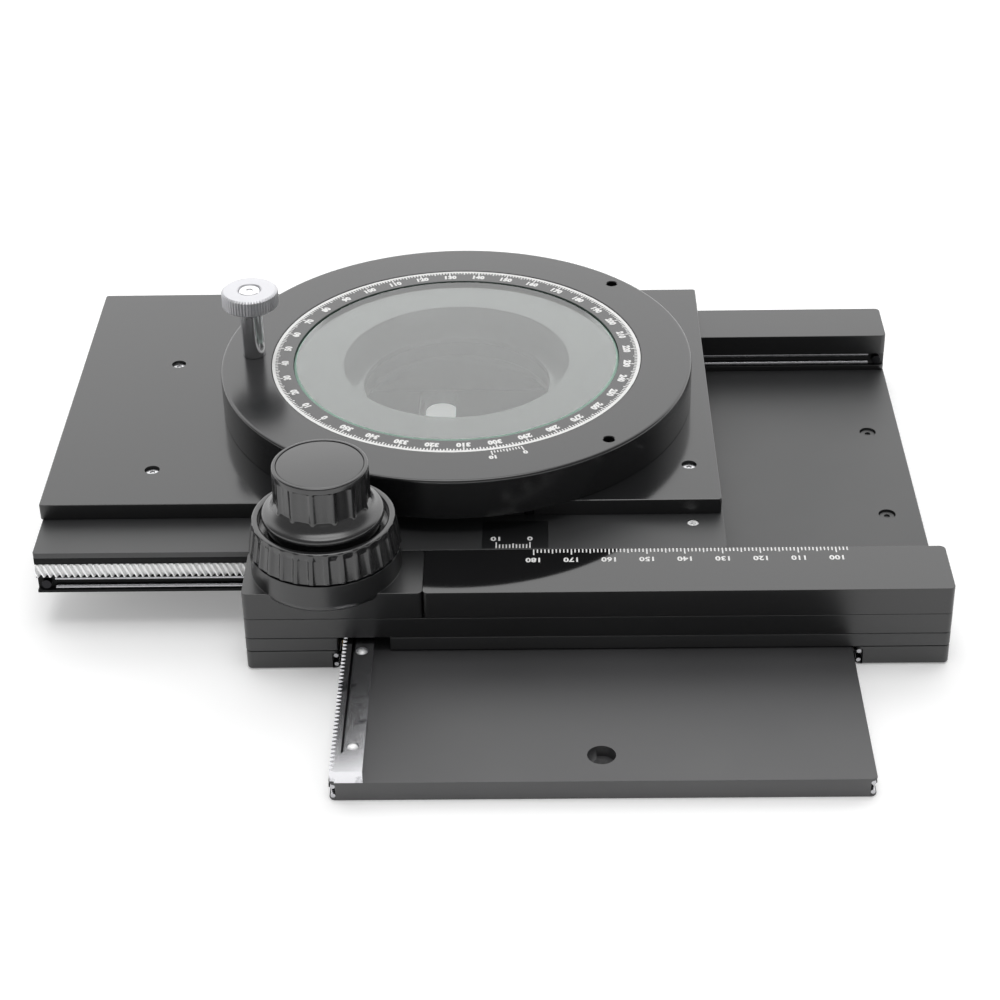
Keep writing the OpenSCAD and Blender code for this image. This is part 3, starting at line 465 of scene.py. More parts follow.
def numeral_mesh(text: str, wide_mm: float, high_mm: float, bold: float = 0.035) -> bpy.types.Mesh:
    """A printed number, centred on the origin and upright along Y.

    Args:
        text: The digits.
        wide_mm: Width of a nought.
        high_mm: Height of a nought.
        bold: How far the strokes are thickened, as a share of the font's size.

    Returns:
        The mesh, with its underside at height zero.
    """
    nought = text_mesh("0", bold)
    across = [v.co.x for v in nought.vertices]
    along = [v.co.y for v in nought.vertices]
    bpy.data.meshes.remove(nought)
    scale = (
        wide_mm * MM / (max(across) - min(across)),
        high_mm * MM / (max(along) - min(along)),
        PRINT_MM * MM,
        1,
    )
    middle = (max(along) + min(along)) / 2
    mesh = text_mesh(text, bold)
    mesh.transform(Matrix.Diagonal(scale) @ Matrix.Translation((0, -middle, 0.5)))
    return mesh


def joined(meshes: Sequence[bpy.types.Mesh], name: str) -> bpy.types.Mesh:
    """Gathers several meshes into one, welding each one's loose triangles.

    Args:
        meshes: The meshes, which are used up.
        name: The new mesh's name.

    Returns:
        The new mesh.
    """
    bm = bmesh.new()
    for mesh in meshes:
        bm.from_mesh(mesh)
        bpy.data.meshes.remove(mesh)
    bmesh.ops.remove_doubles(bm, verts=bm.verts, dist=WELD)
    return to_mesh(bm, name)


# ---------------------------------------------------------------- shapes that repeat


class Repeat(Enum):
    """How a Geometry Nodes tree repeats a shape."""

    STRAIGHT_TICKS = "straight_ticks"
    ARC_TICKS = "arc_ticks"
    ROUND = "round_copies"
    GRID = "grid_copies"


@dataclass
class RepeatTree:
    """A Geometry Nodes tree that repeats a shape along a line, round an axis or over a grid."""

    kind: Repeat
    group: bpy.types.NodeTree = field(init=False)
    source: bpy.types.Node = field(init=False)

    FLOATS = "NodeSocketFloat"
    COUNTS = "NodeSocketInt"

    def __post_init__(self) -> None:
        """Builds the tree for its kind."""
        self.group = bpy.data.node_groups.new(self.kind.value, "GeometryNodeTree")
        self.group.interface.new_socket("Geometry", in_out="INPUT", socket_type="NodeSocketGeometry")
        self.group.interface.new_socket("Material", in_out="INPUT", socket_type="NodeSocketMaterial")
        self.group.interface.new_socket("Geometry", in_out="OUTPUT", socket_type="NodeSocketGeometry")
        tick = ("Width", "Short", "Medium", "Long", "Height")
        names = {
            Repeat.STRAIGHT_TICKS: ("Step", "Turn", *tick),
            Repeat.ARC_TICKS: ("Step", "Start", "Radius", "Turn", *tick),
            Repeat.ROUND: (),
            Repeat.GRID: ("Pitch X", "Pitch Y"),
        }[self.kind]
        counts = ("Count", "Columns") if self.kind is Repeat.GRID else ("Count",)
        for name in counts:
            self.group.interface.new_socket(name, in_out="INPUT", socket_type=self.COUNTS)
        for name in names:
            self.group.interface.new_socket(name, in_out="INPUT", socket_type=self.FLOATS)
        self.source = self.group.nodes.new("NodeGroupInput")
        if self.kind in (Repeat.STRAIGHT_TICKS, Repeat.ARC_TICKS):
            self._ticks()
        else:
            self._copies()

    def given(self, name: str) -> bpy.types.NodeSocket:
        """The socket that brings a named input into the tree."""
        return self.source.outputs[name]

    def calc(self, operation: str, *values: Any) -> bpy.types.NodeSocket:
        """Adds a Math node and gives its result."""
        node = add_node(self.group, "ShaderNodeMath", {"operation": operation}, dict(enumerate(values)))
        return node.outputs[0]

    def _points(self, position: bpy.types.NodeSocket) -> bpy.types.NodeSocket:
        """As many points as Count says, each at its own position.

        Args:
            position: Where each point goes, from its index.

        Returns:
            The points.
        """
        line = add_node(
            self.group,
            "GeometryNodeMeshLine",
            {"mode": "OFFSET"},
            {"Count": self.given("Count"), "Offset": (0, 0, 0)},
        )
        moved = add_node(
            self.group,
            "GeometryNodeSetPosition",
            None,
            {"Geometry": line.outputs[0], "Position": position},
        )
        return moved.outputs[0]

    def _finish(self, instances: bpy.types.NodeSocket) -> None:
        """Makes the copies real, gives them their material and ends the tree.

        Args:
            instances: The copies.
        """
        real = add_node(self.group, "GeometryNodeRealizeInstances", None, {"Geometry": instances})
        last = real.outputs[0]
        if self.kind is Repeat.ROUND:
            weld = add_node(
                self.group, "GeometryNodeMergeByDistance", None, {"Geometry": last, "Distance": WELD}
            )
            last = weld.outputs[0]
        dressed = add_node(
            self.group,
            "GeometryNodeSetMaterial",
            None,
            {"Geometry": last, "Material": self.given("Material")},
        )
        add_node(self.group, "NodeGroupOutput", None, {0: dressed.outputs[0]})

    def _ticks(self) -> None:
        """Ticks that grow sideways from a line or an arc, every fifth longer and every tenth longest."""
        index = add_node(self.group, "GeometryNodeInputIndex").outputs[0]
        along = self.calc("MULTIPLY", index, self.given("Step"))
        if self.kind is Repeat.ARC_TICKS:
            angle = self.calc("ADD", along, self.given("Start"))
            x = self.calc("MULTIPLY", self.calc("COSINE", angle), self.given("Radius"))
            y = self.calc("MULTIPLY", self.calc("SINE", angle), self.given("Radius"))
            turn = self.calc("ADD", angle, self.given("Turn"))
        else:
            x, y, turn = along, 0.0, self.given("Turn")
        position = add_node(self.group, "ShaderNodeCombineXYZ", None, {0: x, 1: y})
        fifth = self.calc("LESS_THAN", self.calc("MODULO", index, 5.0), 0.5)
        tenth = self.calc("LESS_THAN", self.calc("MODULO", index, 10.0), 0.5)
        short, medium, longest = (self.given(name) for name in ("Short", "Medium", "Long"))
        more = self.calc("MULTIPLY", fifth, self.calc("SUBTRACT", medium, short))
        most = self.calc("MULTIPLY", tenth, self.calc("SUBTRACT", longest, medium))
        length = self.calc("ADD", self.calc("ADD", short, more), most)
        box = add_node(self.group, "GeometryNodeMeshCube", None, {"Size": (1, 1, 1)})
        rooted = add_node(
            self.group,
            "GeometryNodeTransform",
            None,
            {"Geometry": box.outputs[0], "Translation": (0, 0.5, 0.5)},
        )
        scale = add_node(
            self.group,
            "ShaderNodeCombineXYZ",
            None,
            {0: self.given("Width"), 1: length, 2: self.given("Height")},
        )
        spin = add_node(self.group, "ShaderNodeCombineXYZ", None, {2: turn})
        copies = add_node(
            self.group,
            "GeometryNodeInstanceOnPoints",
            None,
            {
                "Points": self._points(position.outputs[0]),
                "Instance": rooted.outputs[0],
                "Rotation": spin.outputs[0],
                "Scale": scale.outputs[0],
            },
        )
        self._finish(copies.outputs[0])

    def _copies(self) -> None:
        """Copies of the given shape, turned about the Z axis or set out on a grid."""
        index = add_node(self.group, "GeometryNodeInputIndex").outputs[0]
        inputs: dict[str, Any] = {"Instance": self.given("Geometry")}
        if self.kind is Repeat.ROUND:
            turn = self.calc("DIVIDE", self.calc("MULTIPLY", index, 2 * math.pi), self.given("Count"))
            spin = add_node(self.group, "ShaderNodeCombineXYZ", None, {2: turn})
            position = add_node(self.group, "ShaderNodeCombineXYZ")
            inputs["Rotation"] = spin.outputs[0]
        else:
            column = self.calc("MODULO", index, self.given("Columns"))
            row = self.calc("FLOOR", self.calc("DIVIDE", index, self.given("Columns")))
            x = self.calc("MULTIPLY", column, self.given("Pitch X"))
            y = self.calc("MULTIPLY", row, self.given("Pitch Y"))
            position = add_node(self.group, "ShaderNodeCombineXYZ", None, {0: x, 1: y})
        inputs["Points"] = self._points(position.outputs[0])
        copies = add_node(self.group, "GeometryNodeInstanceOnPoints", None, inputs)
        self._finish(copies.outputs[0])

    def grow(
        self, name: str, values: dict[str, Any], shape: bmesh.types.BMesh | None = None
    ) -> bpy.types.Mesh:
        """Runs the tree once and returns its result as a plain mesh.

        Args:
            name: The mesh's name.
            values: The tree's inputs by name, in metres and radians.
            shape: What is repeated, where the tree takes a shape.

        Returns:
            The mesh.
        """
        seed = bpy.data.meshes.new(name)
        if shape is not None:
            shape.to_mesh(seed)
            shape.free()
        holder = bpy.data.objects.new(name, seed)
        bpy.context.scene.collection.objects.link(holder)
        modifier = holder.modifiers.new("repeat", "NODES")
        modifier.node_group = self.group
        for item in self.group.interface.items_tree:
            if item.in_out == "INPUT" and item.name in values:
                modifier[item.identifier] = values[item.name]
        graph = bpy.context.evaluated_depsgraph_get()
        mesh = bpy.data.meshes.new_from_object(holder.evaluated_get(graph))
        bpy.data.objects.remove(holder)
        mesh.shade_smooth()
        mesh.set_sharp_from_angle(angle=SHARP)
        return mesh


# ---------------------------------------------------------------- finishes


def surface(name: str) -> tuple[bpy.types.Material, bpy.types.Node, bpy.types.NodeSocket]:
    """Starts a material.

    Args:
        name: The material's name.

    Returns:
        The material, its Principled shader and its Object coordinates.
    """
    material = bpy.data.materials.new(name)
    material.use_nodes = True
    shader = material.node_tree.nodes["Principled BSDF"]
    place = add_node(material.node_tree, "ShaderNodeTexCoord")
    return material, shader, place.outputs["Object"]


@dataclass(frozen=True)
class AnodisedAluminium:
    """Black anodised aluminium: near black head on, with a satin sheen at a slant."""

    name: str
    satin: float
    colour: str = "#131314"
    worn: str = "#191a1b"
    spread: float = 0.05
    grain_mm: float = 0.35
    relief_mm: float = 0.0006
    cloud_mm: float = 38.0
    stretch: tuple[float, float, float] = (1.0, 1.0, 1.0)
    ior: float = 1.65
    flank: float = 0.0
    lean: float = 0.0
    cloud_edge: tuple[float, float] = (0.3, 0.7)
    flank_edge: tuple[float, float] = (0.7, 0.9)

    def material(self) -> bpy.types.Material:
        """Builds the material: cloudy sealing, and a fine grain drawn just coarse enough to show.

        Faces that look sideways can be rougher than a lapped top (flank), and the top a hair off level
        towards the back (lean, in degrees). An edge is the range over which one turns into the other.

        Returns:
            The material.
        """
        material, shader, place = surface(self.name)
        tree = material.node_tree
        cloud = add_node(
            tree,
            "ShaderNodeTexNoise",
            None,
            {"Vector": place, "Scale": 1 / (self.cloud_mm * MM), "Detail": 5.0, "Roughness": 0.6},
        )
        drawn = add_node(tree, "ShaderNodeMapping", None, {"Vector": place, "Scale": self.stretch})
        grain = add_node(
            tree,
            "ShaderNodeTexNoise",
            None,
            {"Vector": drawn.outputs[0], "Scale": 1 / (self.grain_mm * MM), "Detail": 2.0},
        )
        tint = add_node(
            tree,
            "ShaderNodeMix",
            {"data_type": "RGBA"},
            {"Factor": cloud.outputs[0], 6: srgb(self.colour), 7: srgb(self.worn)},
        )
        gloss = add_node(
            tree,
            "ShaderNodeMapRange",
            None,
            {
                "Value": cloud.outputs[0],
                "From Min": self.cloud_edge[0],
                "From Max": self.cloud_edge[1],
                "To Min": self.satin,
                "To Max": self.satin + self.spread,
            },
        )
        bump = add_node(
            tree,
            "ShaderNodeBump",
            None,
            {"Strength": 0.5, "Distance": self.relief_mm * MM, "Height": grain.outputs[0]},
        )
        if self.lean:
            parts = add_node(tree, "ShaderNodeSeparateXYZ", None, {0: place})
            fall = add_node(
                tree,
                "ShaderNodeMath",
                {"operation": "MULTIPLY"},
                {0: parts.outputs[1], 1: -math.tan(math.radians(self.lean))},
            )
            bump = add_node(
                tree,
                "ShaderNodeBump",
                None,
                {"Strength": 1.0, "Distance": 1.0, "Height": fall.outputs[0], "Normal": bump.outputs[0]},
            )
        rough = gloss.outputs[0]
        if self.flank:
            facing = add_node(tree, "ShaderNodeNewGeometry")
            upward = add_node(tree, "ShaderNodeSeparateXYZ", None, {0: facing.outputs["Normal"]})
            sideways = add_node(
                tree,
                "ShaderNodeMapRange",
                None,
                {
                    "Value": upward.outputs[2],
                    "From Min": self.flank_edge[0],
                    "From Max": self.flank_edge[1],
                    "To Min": self.flank,
                    "To Max": 0.0,
                },
            )
            rough = add_node(
                tree, "ShaderNodeMath", {"operation": "MAXIMUM"}, {0: rough, 1: sideways.outputs[0]}
            ).outputs[0]
        tree.links.new(tint.outputs[2], shader.inputs["Base Color"])
        tree.links.new(rough, shader.inputs["Roughness"])
        tree.links.new(bump.outputs[0], shader.inputs["Normal"])
        shader.inputs["IOR"].default_value = self.ior
        return material


@dataclass(frozen=True)
class MouldedPlastic:
    """Black moulded plastic: semi-gloss, with the mould's very fine texture."""

    name: str
    colour: str = "#1a1a1b"
    roughness: float = 0.2
    grain_mm: float = 0.3
    relief_mm: float = 0.003
    ripple_mm: float = 1.6
    ripple_relief_mm: float = 0.012
    handled_mm: float = 9.0
    uneven: tuple[float, float] = (-0.05, 0.1)
    ior: float = 1.72

    def material(self) -> bpy.types.Material:
        """Builds the material: dark plastic with a fine grain, slight sink marks and uneven gloss.

        Returns:
            The material.
        """
        material, shader, place = surface(self.name)
        tree = material.node_tree
        grain, handled, ripple = (
            add_node(
                tree,
                "ShaderNodeTexNoise",
                None,
                {"Vector": place, "Scale": 1 / (size * MM), "Detail": detail},
            )
            for size, detail in ((self.grain_mm, 3.0), (self.handled_mm, 3.0), (self.ripple_mm, 1.0))
        )
        gloss = add_node(
            tree,
            "ShaderNodeMapRange",
            None,
            {
                "Value": handled.outputs[0],
                "To Min": self.roughness + self.uneven[0],
                "To Max": self.roughness + self.uneven[1],
            },
        )
        bump = add_node(
            tree,
            "ShaderNodeBump",
            None,
            {"Strength": 0.6, "Distance": self.relief_mm * MM, "Height": grain.outputs[0]},
        )
        sunk = add_node(
            tree,
            "ShaderNodeBump",
            None,
            {
                "Strength": 0.6,
                "Distance": self.ripple_relief_mm * MM,
                "Height": ripple.outputs[0],
                "Normal": bump.outputs[0],
            },
        )
        shader.inputs["Base Color"].default_value = srgb(self.colour)
        shader.inputs["IOR"].default_value = self.ior
        tree.links.new(gloss.outputs[0], shader.inputs["Roughness"])
        tree.links.new(sunk.outputs[0], shader.inputs["Normal"])
        return material


@dataclass(frozen=True)
class BareMetal:
    """Bare or plated metal, with fine tool lines along one axis."""

    name: str
    colour: str
    roughness: float
    lines_mm: float
    relief_mm: float
    stretch: tuple[float, float, float] = (0.04, 1.0, 1.0)
    stained: str = ""
    uneven: tuple[float, float] = (0.7, 1.4)
    patch_mm: float = 7.0
    patch_edge: tuple[float, float] = (0.54, 0.66)

    def material(self) -> bpy.types.Material:
        """Builds the material: a metal whose ground or turned lines stretch along one axis.

        A stained one has patches of the second colour, where oil and handling have dulled it.

        Returns:
            The material.
        """
        material, shader, place = surface(self.name)
        tree = material.node_tree
        drawn = add_node(tree, "ShaderNodeMapping", None, {"Vector": place, "Scale": self.stretch})
        lines = add_node(
            tree,
            "ShaderNodeTexNoise",
            None,
            {"Vector": drawn.outputs[0], "Scale": 1 / (self.lines_mm * MM), "Detail": 3.0},
        )
        gloss = add_node(
            tree,
            "ShaderNodeMapRange",
            None,
            {
                "Value": lines.outputs[0],
                "To Min": self.roughness * self.uneven[0],
                "To Max": self.roughness * self.uneven[1],
            },
        )
        bump = add_node(
            tree,
            "ShaderNodeBump",
            None,
            {"Strength": 0.5, "Distance": self.relief_mm * MM, "Height": lines.outputs[0]},
        )
        shader.inputs["Base Color"].default_value = srgb(self.colour)
        if self.stained:
            patches = add_node(
                tree,
                "ShaderNodeTexNoise",
                None,
                {"Vector": place, "Scale": 1 / (self.patch_mm * MM), "Detail": 6.0, "Roughness": 0.65},
            )
            cover = add_node(
                tree,
                "ShaderNodeMapRange",
                None,
                {
                    "Value": patches.outputs[0],
                    "From Min": self.patch_edge[0],
                    "From Max": self.patch_edge[1],
                },
            )
            tint = add_node(
                tree,
                "ShaderNodeMix",
                {"data_type": "RGBA"},
                {"Factor": cover.outputs[0], 6: srgb(self.colour), 7: srgb(self.stained)},
            )
            tree.links.new(tint.outputs[2], shader.inputs["Base Color"])
        shader.inputs["Metallic"].default_value = 1.0
        tree.links.new(gloss.outputs[0], shader.inputs["Roughness"])
        tree.links.new(bump.outputs[0], shader.inputs["Normal"])
        return material


@dataclass(frozen=True)
class PrintedPaint:
    """White screen-printed paint: matt and slightly uneven in cover."""

    name: str
    colour: str = "#f2f2f0"
    thin: str = "#d2d2d2"
    cover_mm: float = 0.6
    roughness: float = 0.6

    def material(self) -> bpy.types.Material:
        """Builds the material: white, a little greyer where the paint is thin.

        Returns:
            The material.
        """
        material, shader, place = surface(self.name)
        tree = material.node_tree
        size = 1 / (self.cover_mm * MM)
        cover = add_node(tree, "ShaderNodeTexNoise", None, {"Vector": place, "Scale": size})
        tint = add_node(
            tree,
            "ShaderNodeMix",
            {"data_type": "RGBA"},
            {"Factor": cover.outputs[0], 6: srgb(self.colour), 7: srgb(self.thin)},
        )
        tree.links.new(tint.outputs[2], shader.inputs["Base Color"])
        shader.inputs["Roughness"].default_value = self.roughness
        return material


@dataclass(frozen=True)
class FloatGlass:
    """Polished float glass: clear, and faintly green from the iron in it."""

    name: str
    colour: str = "#f0f4f2"
    ior: float = 1.57
    wiped_mm: float = 25.0
    haze: float = 0.006

    def material(self) -> bpy.types.Material:
        """Builds the material: clear glass whose surface is very slightly wiped and dusty.

        Returns:
            The material.
        """
        material, shader, place = surface(self.name)
        tree = material.node_tree
        size = 1 / (self.wiped_mm * MM)
        wiped = add_node(
            tree, "ShaderNodeTexNoise", None, {"Vector": place, "Scale": size, "Detail": 4.0}
        )
        gloss = add_node(
            tree,
            "ShaderNodeMapRange",
            None,
            {"Value": wiped.outputs[0], "To Min": 0.0, "To Max": self.haze},
        )
        shader.inputs["Base Color"].default_value = srgb(self.colour)
        shader.inputs["Transmission Weight"].default_value = 1.0
        shader.inputs["IOR"].default_value = self.ior
        tree.links.new(gloss.outputs[0], shader.inputs["Roughness"])
        return material


@dataclass(frozen=True)
class GroundGlass:
    """The ground edge of float glass: frosted, and greener than the sheet, as the eye looks along it."""

    name: str
    colour: str = "#9fc4b3"
    paler: str = "#bcd8cb"
    frost_mm: float = 0.8
    roughness: float = 0.45

    def material(self) -> bpy.types.Material:
        """Builds the material: a pale green frost, whose grain is drawn coarse enough to show.

        Returns:
            The material.
        """
        material, shader, place = surface(self.name)
        tree = material.node_tree
        size = 1 / (self.frost_mm * MM)
        frost = add_node(tree, "ShaderNodeTexNoise", None, {"Vector": place, "Scale": size})
        tint = add_node(
            tree,
            "ShaderNodeMix",
            {"data_type": "RGBA"},
            {"Factor": frost.outputs[0], 6: srgb(self.colour), 7: srgb(self.paler)},
        )
        tree.links.new(tint.outputs[2], shader.inputs["Base Color"])
        shader.inputs["Roughness"].default_value = self.roughness
        return material


@dataclass(frozen=True)
class PlainPlastic:
    """Pale low-friction plastic, turned and matt."""

    name: str
    colour: str = "#dcdbd2"
    mottle_mm: float = 4.0
    uneven: tuple[float, float] = (0.4, 0.6)

    def material(self) -> bpy.types.Material:
        """Builds the material: an off-white plastic with a faint mottling.

        Returns:
            The material.
        """
        material, shader, place = surface(self.name)
        tree = material.node_tree
        size = 1 / (self.mottle_mm * MM)
        mottle = add_node(tree, "ShaderNodeTexNoise", None, {"Vector": place, "Scale": size})
        gloss = add_node(
            tree,
            "ShaderNodeMapRange",
            None,
            {"Value": mottle.outputs[0], "To Min": self.uneven[0], "To Max": self.uneven[1]},
        )
        shader.inputs["Base Color"].default_value = srgb(self.colour)
        tree.links.new(gloss.outputs[0], shader.inputs["Roughness"])
        return material


@dataclass
class Finishes:
    """Every finish on the stage, by the record's material slot."""

    anodised: bpy.types.Material = field(init=False)
    base: bpy.types.Material = field(init=False)
    deck: bpy.types.Material = field(init=False)
    housing: bpy.types.Material = field(init=False)
    ring: bpy.types.Material = field(init=False)
    knurled: bpy.types.Material = field(init=False)
    moulded: bpy.types.Material = field(init=False)
    steel: bpy.types.Material = field(init=False)
    wire: bpy.types.Material = field(init=False)
    blackened: bpy.types.Material = field(init=False)
    brass: bpy.types.Material = field(init=False)
    chrome: bpy.types.Material = field(init=False)
    glass: bpy.types.Material = field(init=False)
    ground_glass: bpy.types.Material = field(init=False)
    disc: bpy.types.Material = field(init=False)
    print: bpy.types.Material = field(init=False)
    dial: bpy.types.Material = field(init=False)
    lapped: bpy.types.Material = field(init=False)
    carrier: bpy.types.Material = field(init=False)
    unsealed: bpy.types.Material = field(init=False)
    rack: bpy.types.Material = field(init=False)
    milled: bpy.types.Material = field(init=False)

    def __post_init__(self) -> None:
        """Builds the materials."""
        # Face-milled, anodised and sealed: almost black from above, and a clear satin mirror at a slant.
        self.anodised = AnodisedAluminium(
            "satin_black_anodised_aluminium", 0.11, colour="#171718", worn="#1d1e1f", ior=1.62, flank=0.3
        ).material()
        # Bead blasted before anodising, so it scatters: an even dark grey without reflections.
        self.base = AnodisedAluminium(
            "blasted_black_anodised_aluminium",
            0.5,
            colour="#333334",
            worn="#39393b",
            spread=0.06,
            relief_mm=0.002,
            stretch=(0.08, 1.0, 1.0),
            ior=1.8,
        ).material()
        # Brushed along the travel: soft, with very long faint lines.
        self.deck = AnodisedAluminium(
            "brushed_black_anodised_aluminium",
            0.42,
            colour="#242425",
            worn="#2a2b2c",
            relief_mm=0.0012,
            stretch=(0.08, 1.0, 1.0),
        ).material()
        # Left as milled: the same softness, a little paler where the cutter ran.
        self.carrier = AnodisedAluminium(
            "milled_black_anodised_aluminium",
            0.42,
            colour="#262627",
            worn="#2d2e2f",
            stretch=(0.08, 1.0, 1.0),
        ).material()
        # Vapour blasted: a matt black that only brightens towards the light.
        self.housing = AnodisedAluminium("matt_black_anodised_aluminium", 0.28).material()
        # Painted shade: a copy of the black anodised finish that reflects very little, on the front
        # slide bar, standing in for the shade under the carrier's overhang: the darkest of the blacks.
        self.unsealed = AnodisedAluminium("shade_darkened_black_anodised_aluminium", 0.55, ior=1.28).material()
        # Turned in a lathe with a fine feed: a smooth even sheen.
        self.ring = AnodisedAluminium(
            "turned_black_anodised_aluminium", 0.19, spread=0.03, relief_mm=0.0002
        ).material()
        # Finer turned than its housing, so it takes up a little more of the light.
        self.dial = AnodisedAluminium(
            "fine_turned_black_anodised_aluminium",
            0.22,
            colour="#1c1c1d",
            worn="#222223",
            spread=0.03,
            relief_mm=0.0001,
            ior=1.7,
        ).material()
        # Lapped flat for the scale: a black mirror on top, matt on its edges.
        self.lapped = AnodisedAluminium(
            "lapped_black_anodised_aluminium",
            0.05,
            colour="#111112",
            worn="#161617",
            spread=0.02,
            flank=0.3,
            lean=1.5,
        ).material()
        # Chromed over a straight knurl: bright and scattered, without a clear reflection.
        self.knurled = BareMetal(
            "chromed_knurled_steel", "#c0c0c3", 0.42, 0.2, 0.0004, (1.0, 1.0, 1.0)
        ).material()
        # Moulded in one piece: glossy, with slight sink marks that bend its highlights.
        self.moulded = MouldedPlastic("moulded_black_plastic").material()
        # Ground and oiled: bright, with short fine lines.
        self.steel = BareMetal("ground_tool_steel", "#c9c9cb", 0.22, 0.12, 0.001).material()
        # Ground along its length, then dulled here and there by oil and fingers.
        self.rack = BareMetal(
            "ground_rack_steel", "#dedee1", 0.22, 0.12, 0.001, (1.0, 0.04, 1.0), "#96969b"
        ).material()
        # Freshly milled teeth: nearly white and quite without reflections.
        self.milled = BareMetal("milled_rack_steel", "#f8f8f8", 0.6, 0.15, 0.001).material()
        # Drawn wire: two thin bright lines in the dark of a groove.
        self.wire = BareMetal("drawn_spring_wire", "#b4b4b7", 0.25, 0.15, 0.0006).material()
        # Blackened in a salt bath: a dark grey metal with a dull sheen. It is also painted shade on the
        # walls and floor of the Y rack's slit.
        self.blackened = BareMetal("black_oxide_steel_and_slit_shade", "#2b2b2d", 0.38, 0.3, 0.001).material()
        # Turned bearing brass: a warm, dull yellow.
        self.brass = BareMetal("turned_brass", "#b0935a", 0.3, 0.2, 0.001).material()
        # Turned, polished and chromed: a clear mirror that the turning blurs a little.
        self.chrome = BareMetal(
            "chromed_turned_steel", "#dadadc", 0.18, 0.25, 0.0004, (1.0, 1.0, 1.0)
        ).material()
        # Polished float glass: clear, with the sky's reflection over what lies below.
        self.glass = FloatGlass("float_glass").material()
        # Its edge, ground with a stone: a thin pale green line.
        self.ground_glass = GroundGlass("ground_float_glass_edge").material()
        # Turned low-friction plastic: off-white and matt.
        self.disc = PlainPlastic("low_friction_plastic").material()
        # Screen printed paint: white and matt.
        self.print = PrintedPaint("white_screen_print").material()

    def by_slot(self) -> dict[str, bpy.types.Material]:
        """The material of each of the record's slots, where a node has none of its own.

        Returns:
            The materials, by slot.
        """
        return {
            "anodised_black": self.anodised,
            "bright_steel": self.steel,
            "race_wire": self.wire,
            "screw_black": self.blackened,
            "bearing_brass": self.brass,
            "friction_disc": self.disc,
            "chromed_steel": self.chrome,
            "moulded_black": self.moulded,
            "stage_glass": self.glass,
        }


# ---------------------------------------------------------------- the stage


@dataclass
class CarriedOverNodes:
    """The CAD nodes that keep their own shape and only get a finish."""

    finishes: Finishes

    def dress(self) -> None:
        """Gives every CAD node the material of its slot."""
        slots = {part["node"]: part["material_slot"] for part in frame["record"]["subparts"]}
        materials = self.finishes.by_slot()
        own = {
            "x_rack": self.finishes.milled,
            "moving_x_cage_stops": self.finishes.blackened,
            "fixed_x_cage_stops": self.finishes.blackened,
        }
        for node, piece in frame["nodes"].items():
            for slot in piece.material_slots:
                slot.material = own.get(node, materials[slots[node]])
        LOG.info("%d carried-over nodes dressed", len(frame["nodes"]))


@dataclass
class Plates:
    """The anodised plates, rails and bars, with their edges rounded as a machinist breaks them."""

    finishes: Finishes
    round_mm: float = 0.25
    fine_mm: float = 0.1

    def build(self) -> None:
        """Makes each plate with rounded edges in place of its CAD node."""
        finishes = self.finishes
        # By body: the node, its finish and how far its edges are broken, in millimetres.
        bodies = {
            "base": (("base_plate", finishes.base, 0.35),),
            "y_carriage": (
                ("main_plate", finishes.deck, 0.4),
                ("left_side_rail", finishes.housing, 0.4),
                ("right_side_rail", finishes.housing, 0.4),
                ("front_race_rail", finishes.housing, self.round_mm),
                ("drive_housing", finishes.housing, 0.2),
                ("scale_bar", finishes.lapped, 0.14),
                ("rear_bar", finishes.housing, self.round_mm),
            ),
            "x_carriage": (
                ("top_plate", finishes.anodised, self.round_mm),
                ("carrier_plate", finishes.carrier, self.fine_mm),
                # The front slide bar takes the darkened copy: painted shade under the carrier's
                # overhang.
                ("front_slide_bar", finishes.unsealed, self.fine_mm),
                ("rear_slide_bar", finishes.housing, self.round_mm),
                ("vernier_plate", finishes.housing, 0.05),
            ),
        }
        for body, plates in bodies.items():
            for node, material, reach in plates:
                mesh = edge_broken(node_solid(node), node, reach)
                show(mesh, f"{node}_finished", body, material, [node])


@dataclass
class SlitRack:
    """The Y rack, with the narrow slit that parts its teeth from its screwed side, painted dark inside
    as shade.
    """

    finishes: Finishes
    off_screws_mm: float = 2.5
    width_mm: float = 0.5
    depth_mm: float = 1.0
    past_screw_mm: float = 1.0
    rear_mm: float = 12.0
    side_share: float = 0.6

    def build(self) -> None:
        """Cuts the slit into the rack's top, and gives its walls and floor the dark black oxide finish
        as painted shade.
        """
        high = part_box("y_rack")[1]
        first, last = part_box("y_rack_screws")
        middle = (first.x + last.x) / 2 - self.off_screws_mm * MM
        front, rear = first.y - self.past_screw_mm * MM, high.y - self.rear_mm * MM
        cutter = bmesh.new()
        bmesh.ops.create_cube(cutter, size=1.0)
        size = Vector((self.width_mm * MM, rear - front, 2 * self.depth_mm * MM))
        bmesh.ops.scale(cutter, verts=cutter.verts, vec=size)
        bmesh.ops.translate(cutter, verts=cutter.verts, vec=(middle, (front + rear) / 2, high.z))
        solid = to_mesh(node_solid("y_rack"), "y_rack_slit")
        mesh = to_mesh(bored(solid, cutter), "y_rack_slit")
        mesh.shade_flat()
        mesh.materials.clear()
        # Painted shade: the slit's walls and floor take the dark black oxide finish, so the slit reads
        # dark.
        for finish in (self.finishes.rack, self.finishes.blackened):
            mesh.materials.append(finish)
        for face in mesh.polygons:
            across = abs(face.center.x - middle) < self.side_share * self.width_mm * MM
            along = front - WELD < face.center.y < rear + WELD
            below = WELD < high.z - face.center.z < self.depth_mm * MM + WELD
            face.material_index = int(across and along and below)
        show(mesh, "y_rack_slit", "base", None, ["y_rack"])


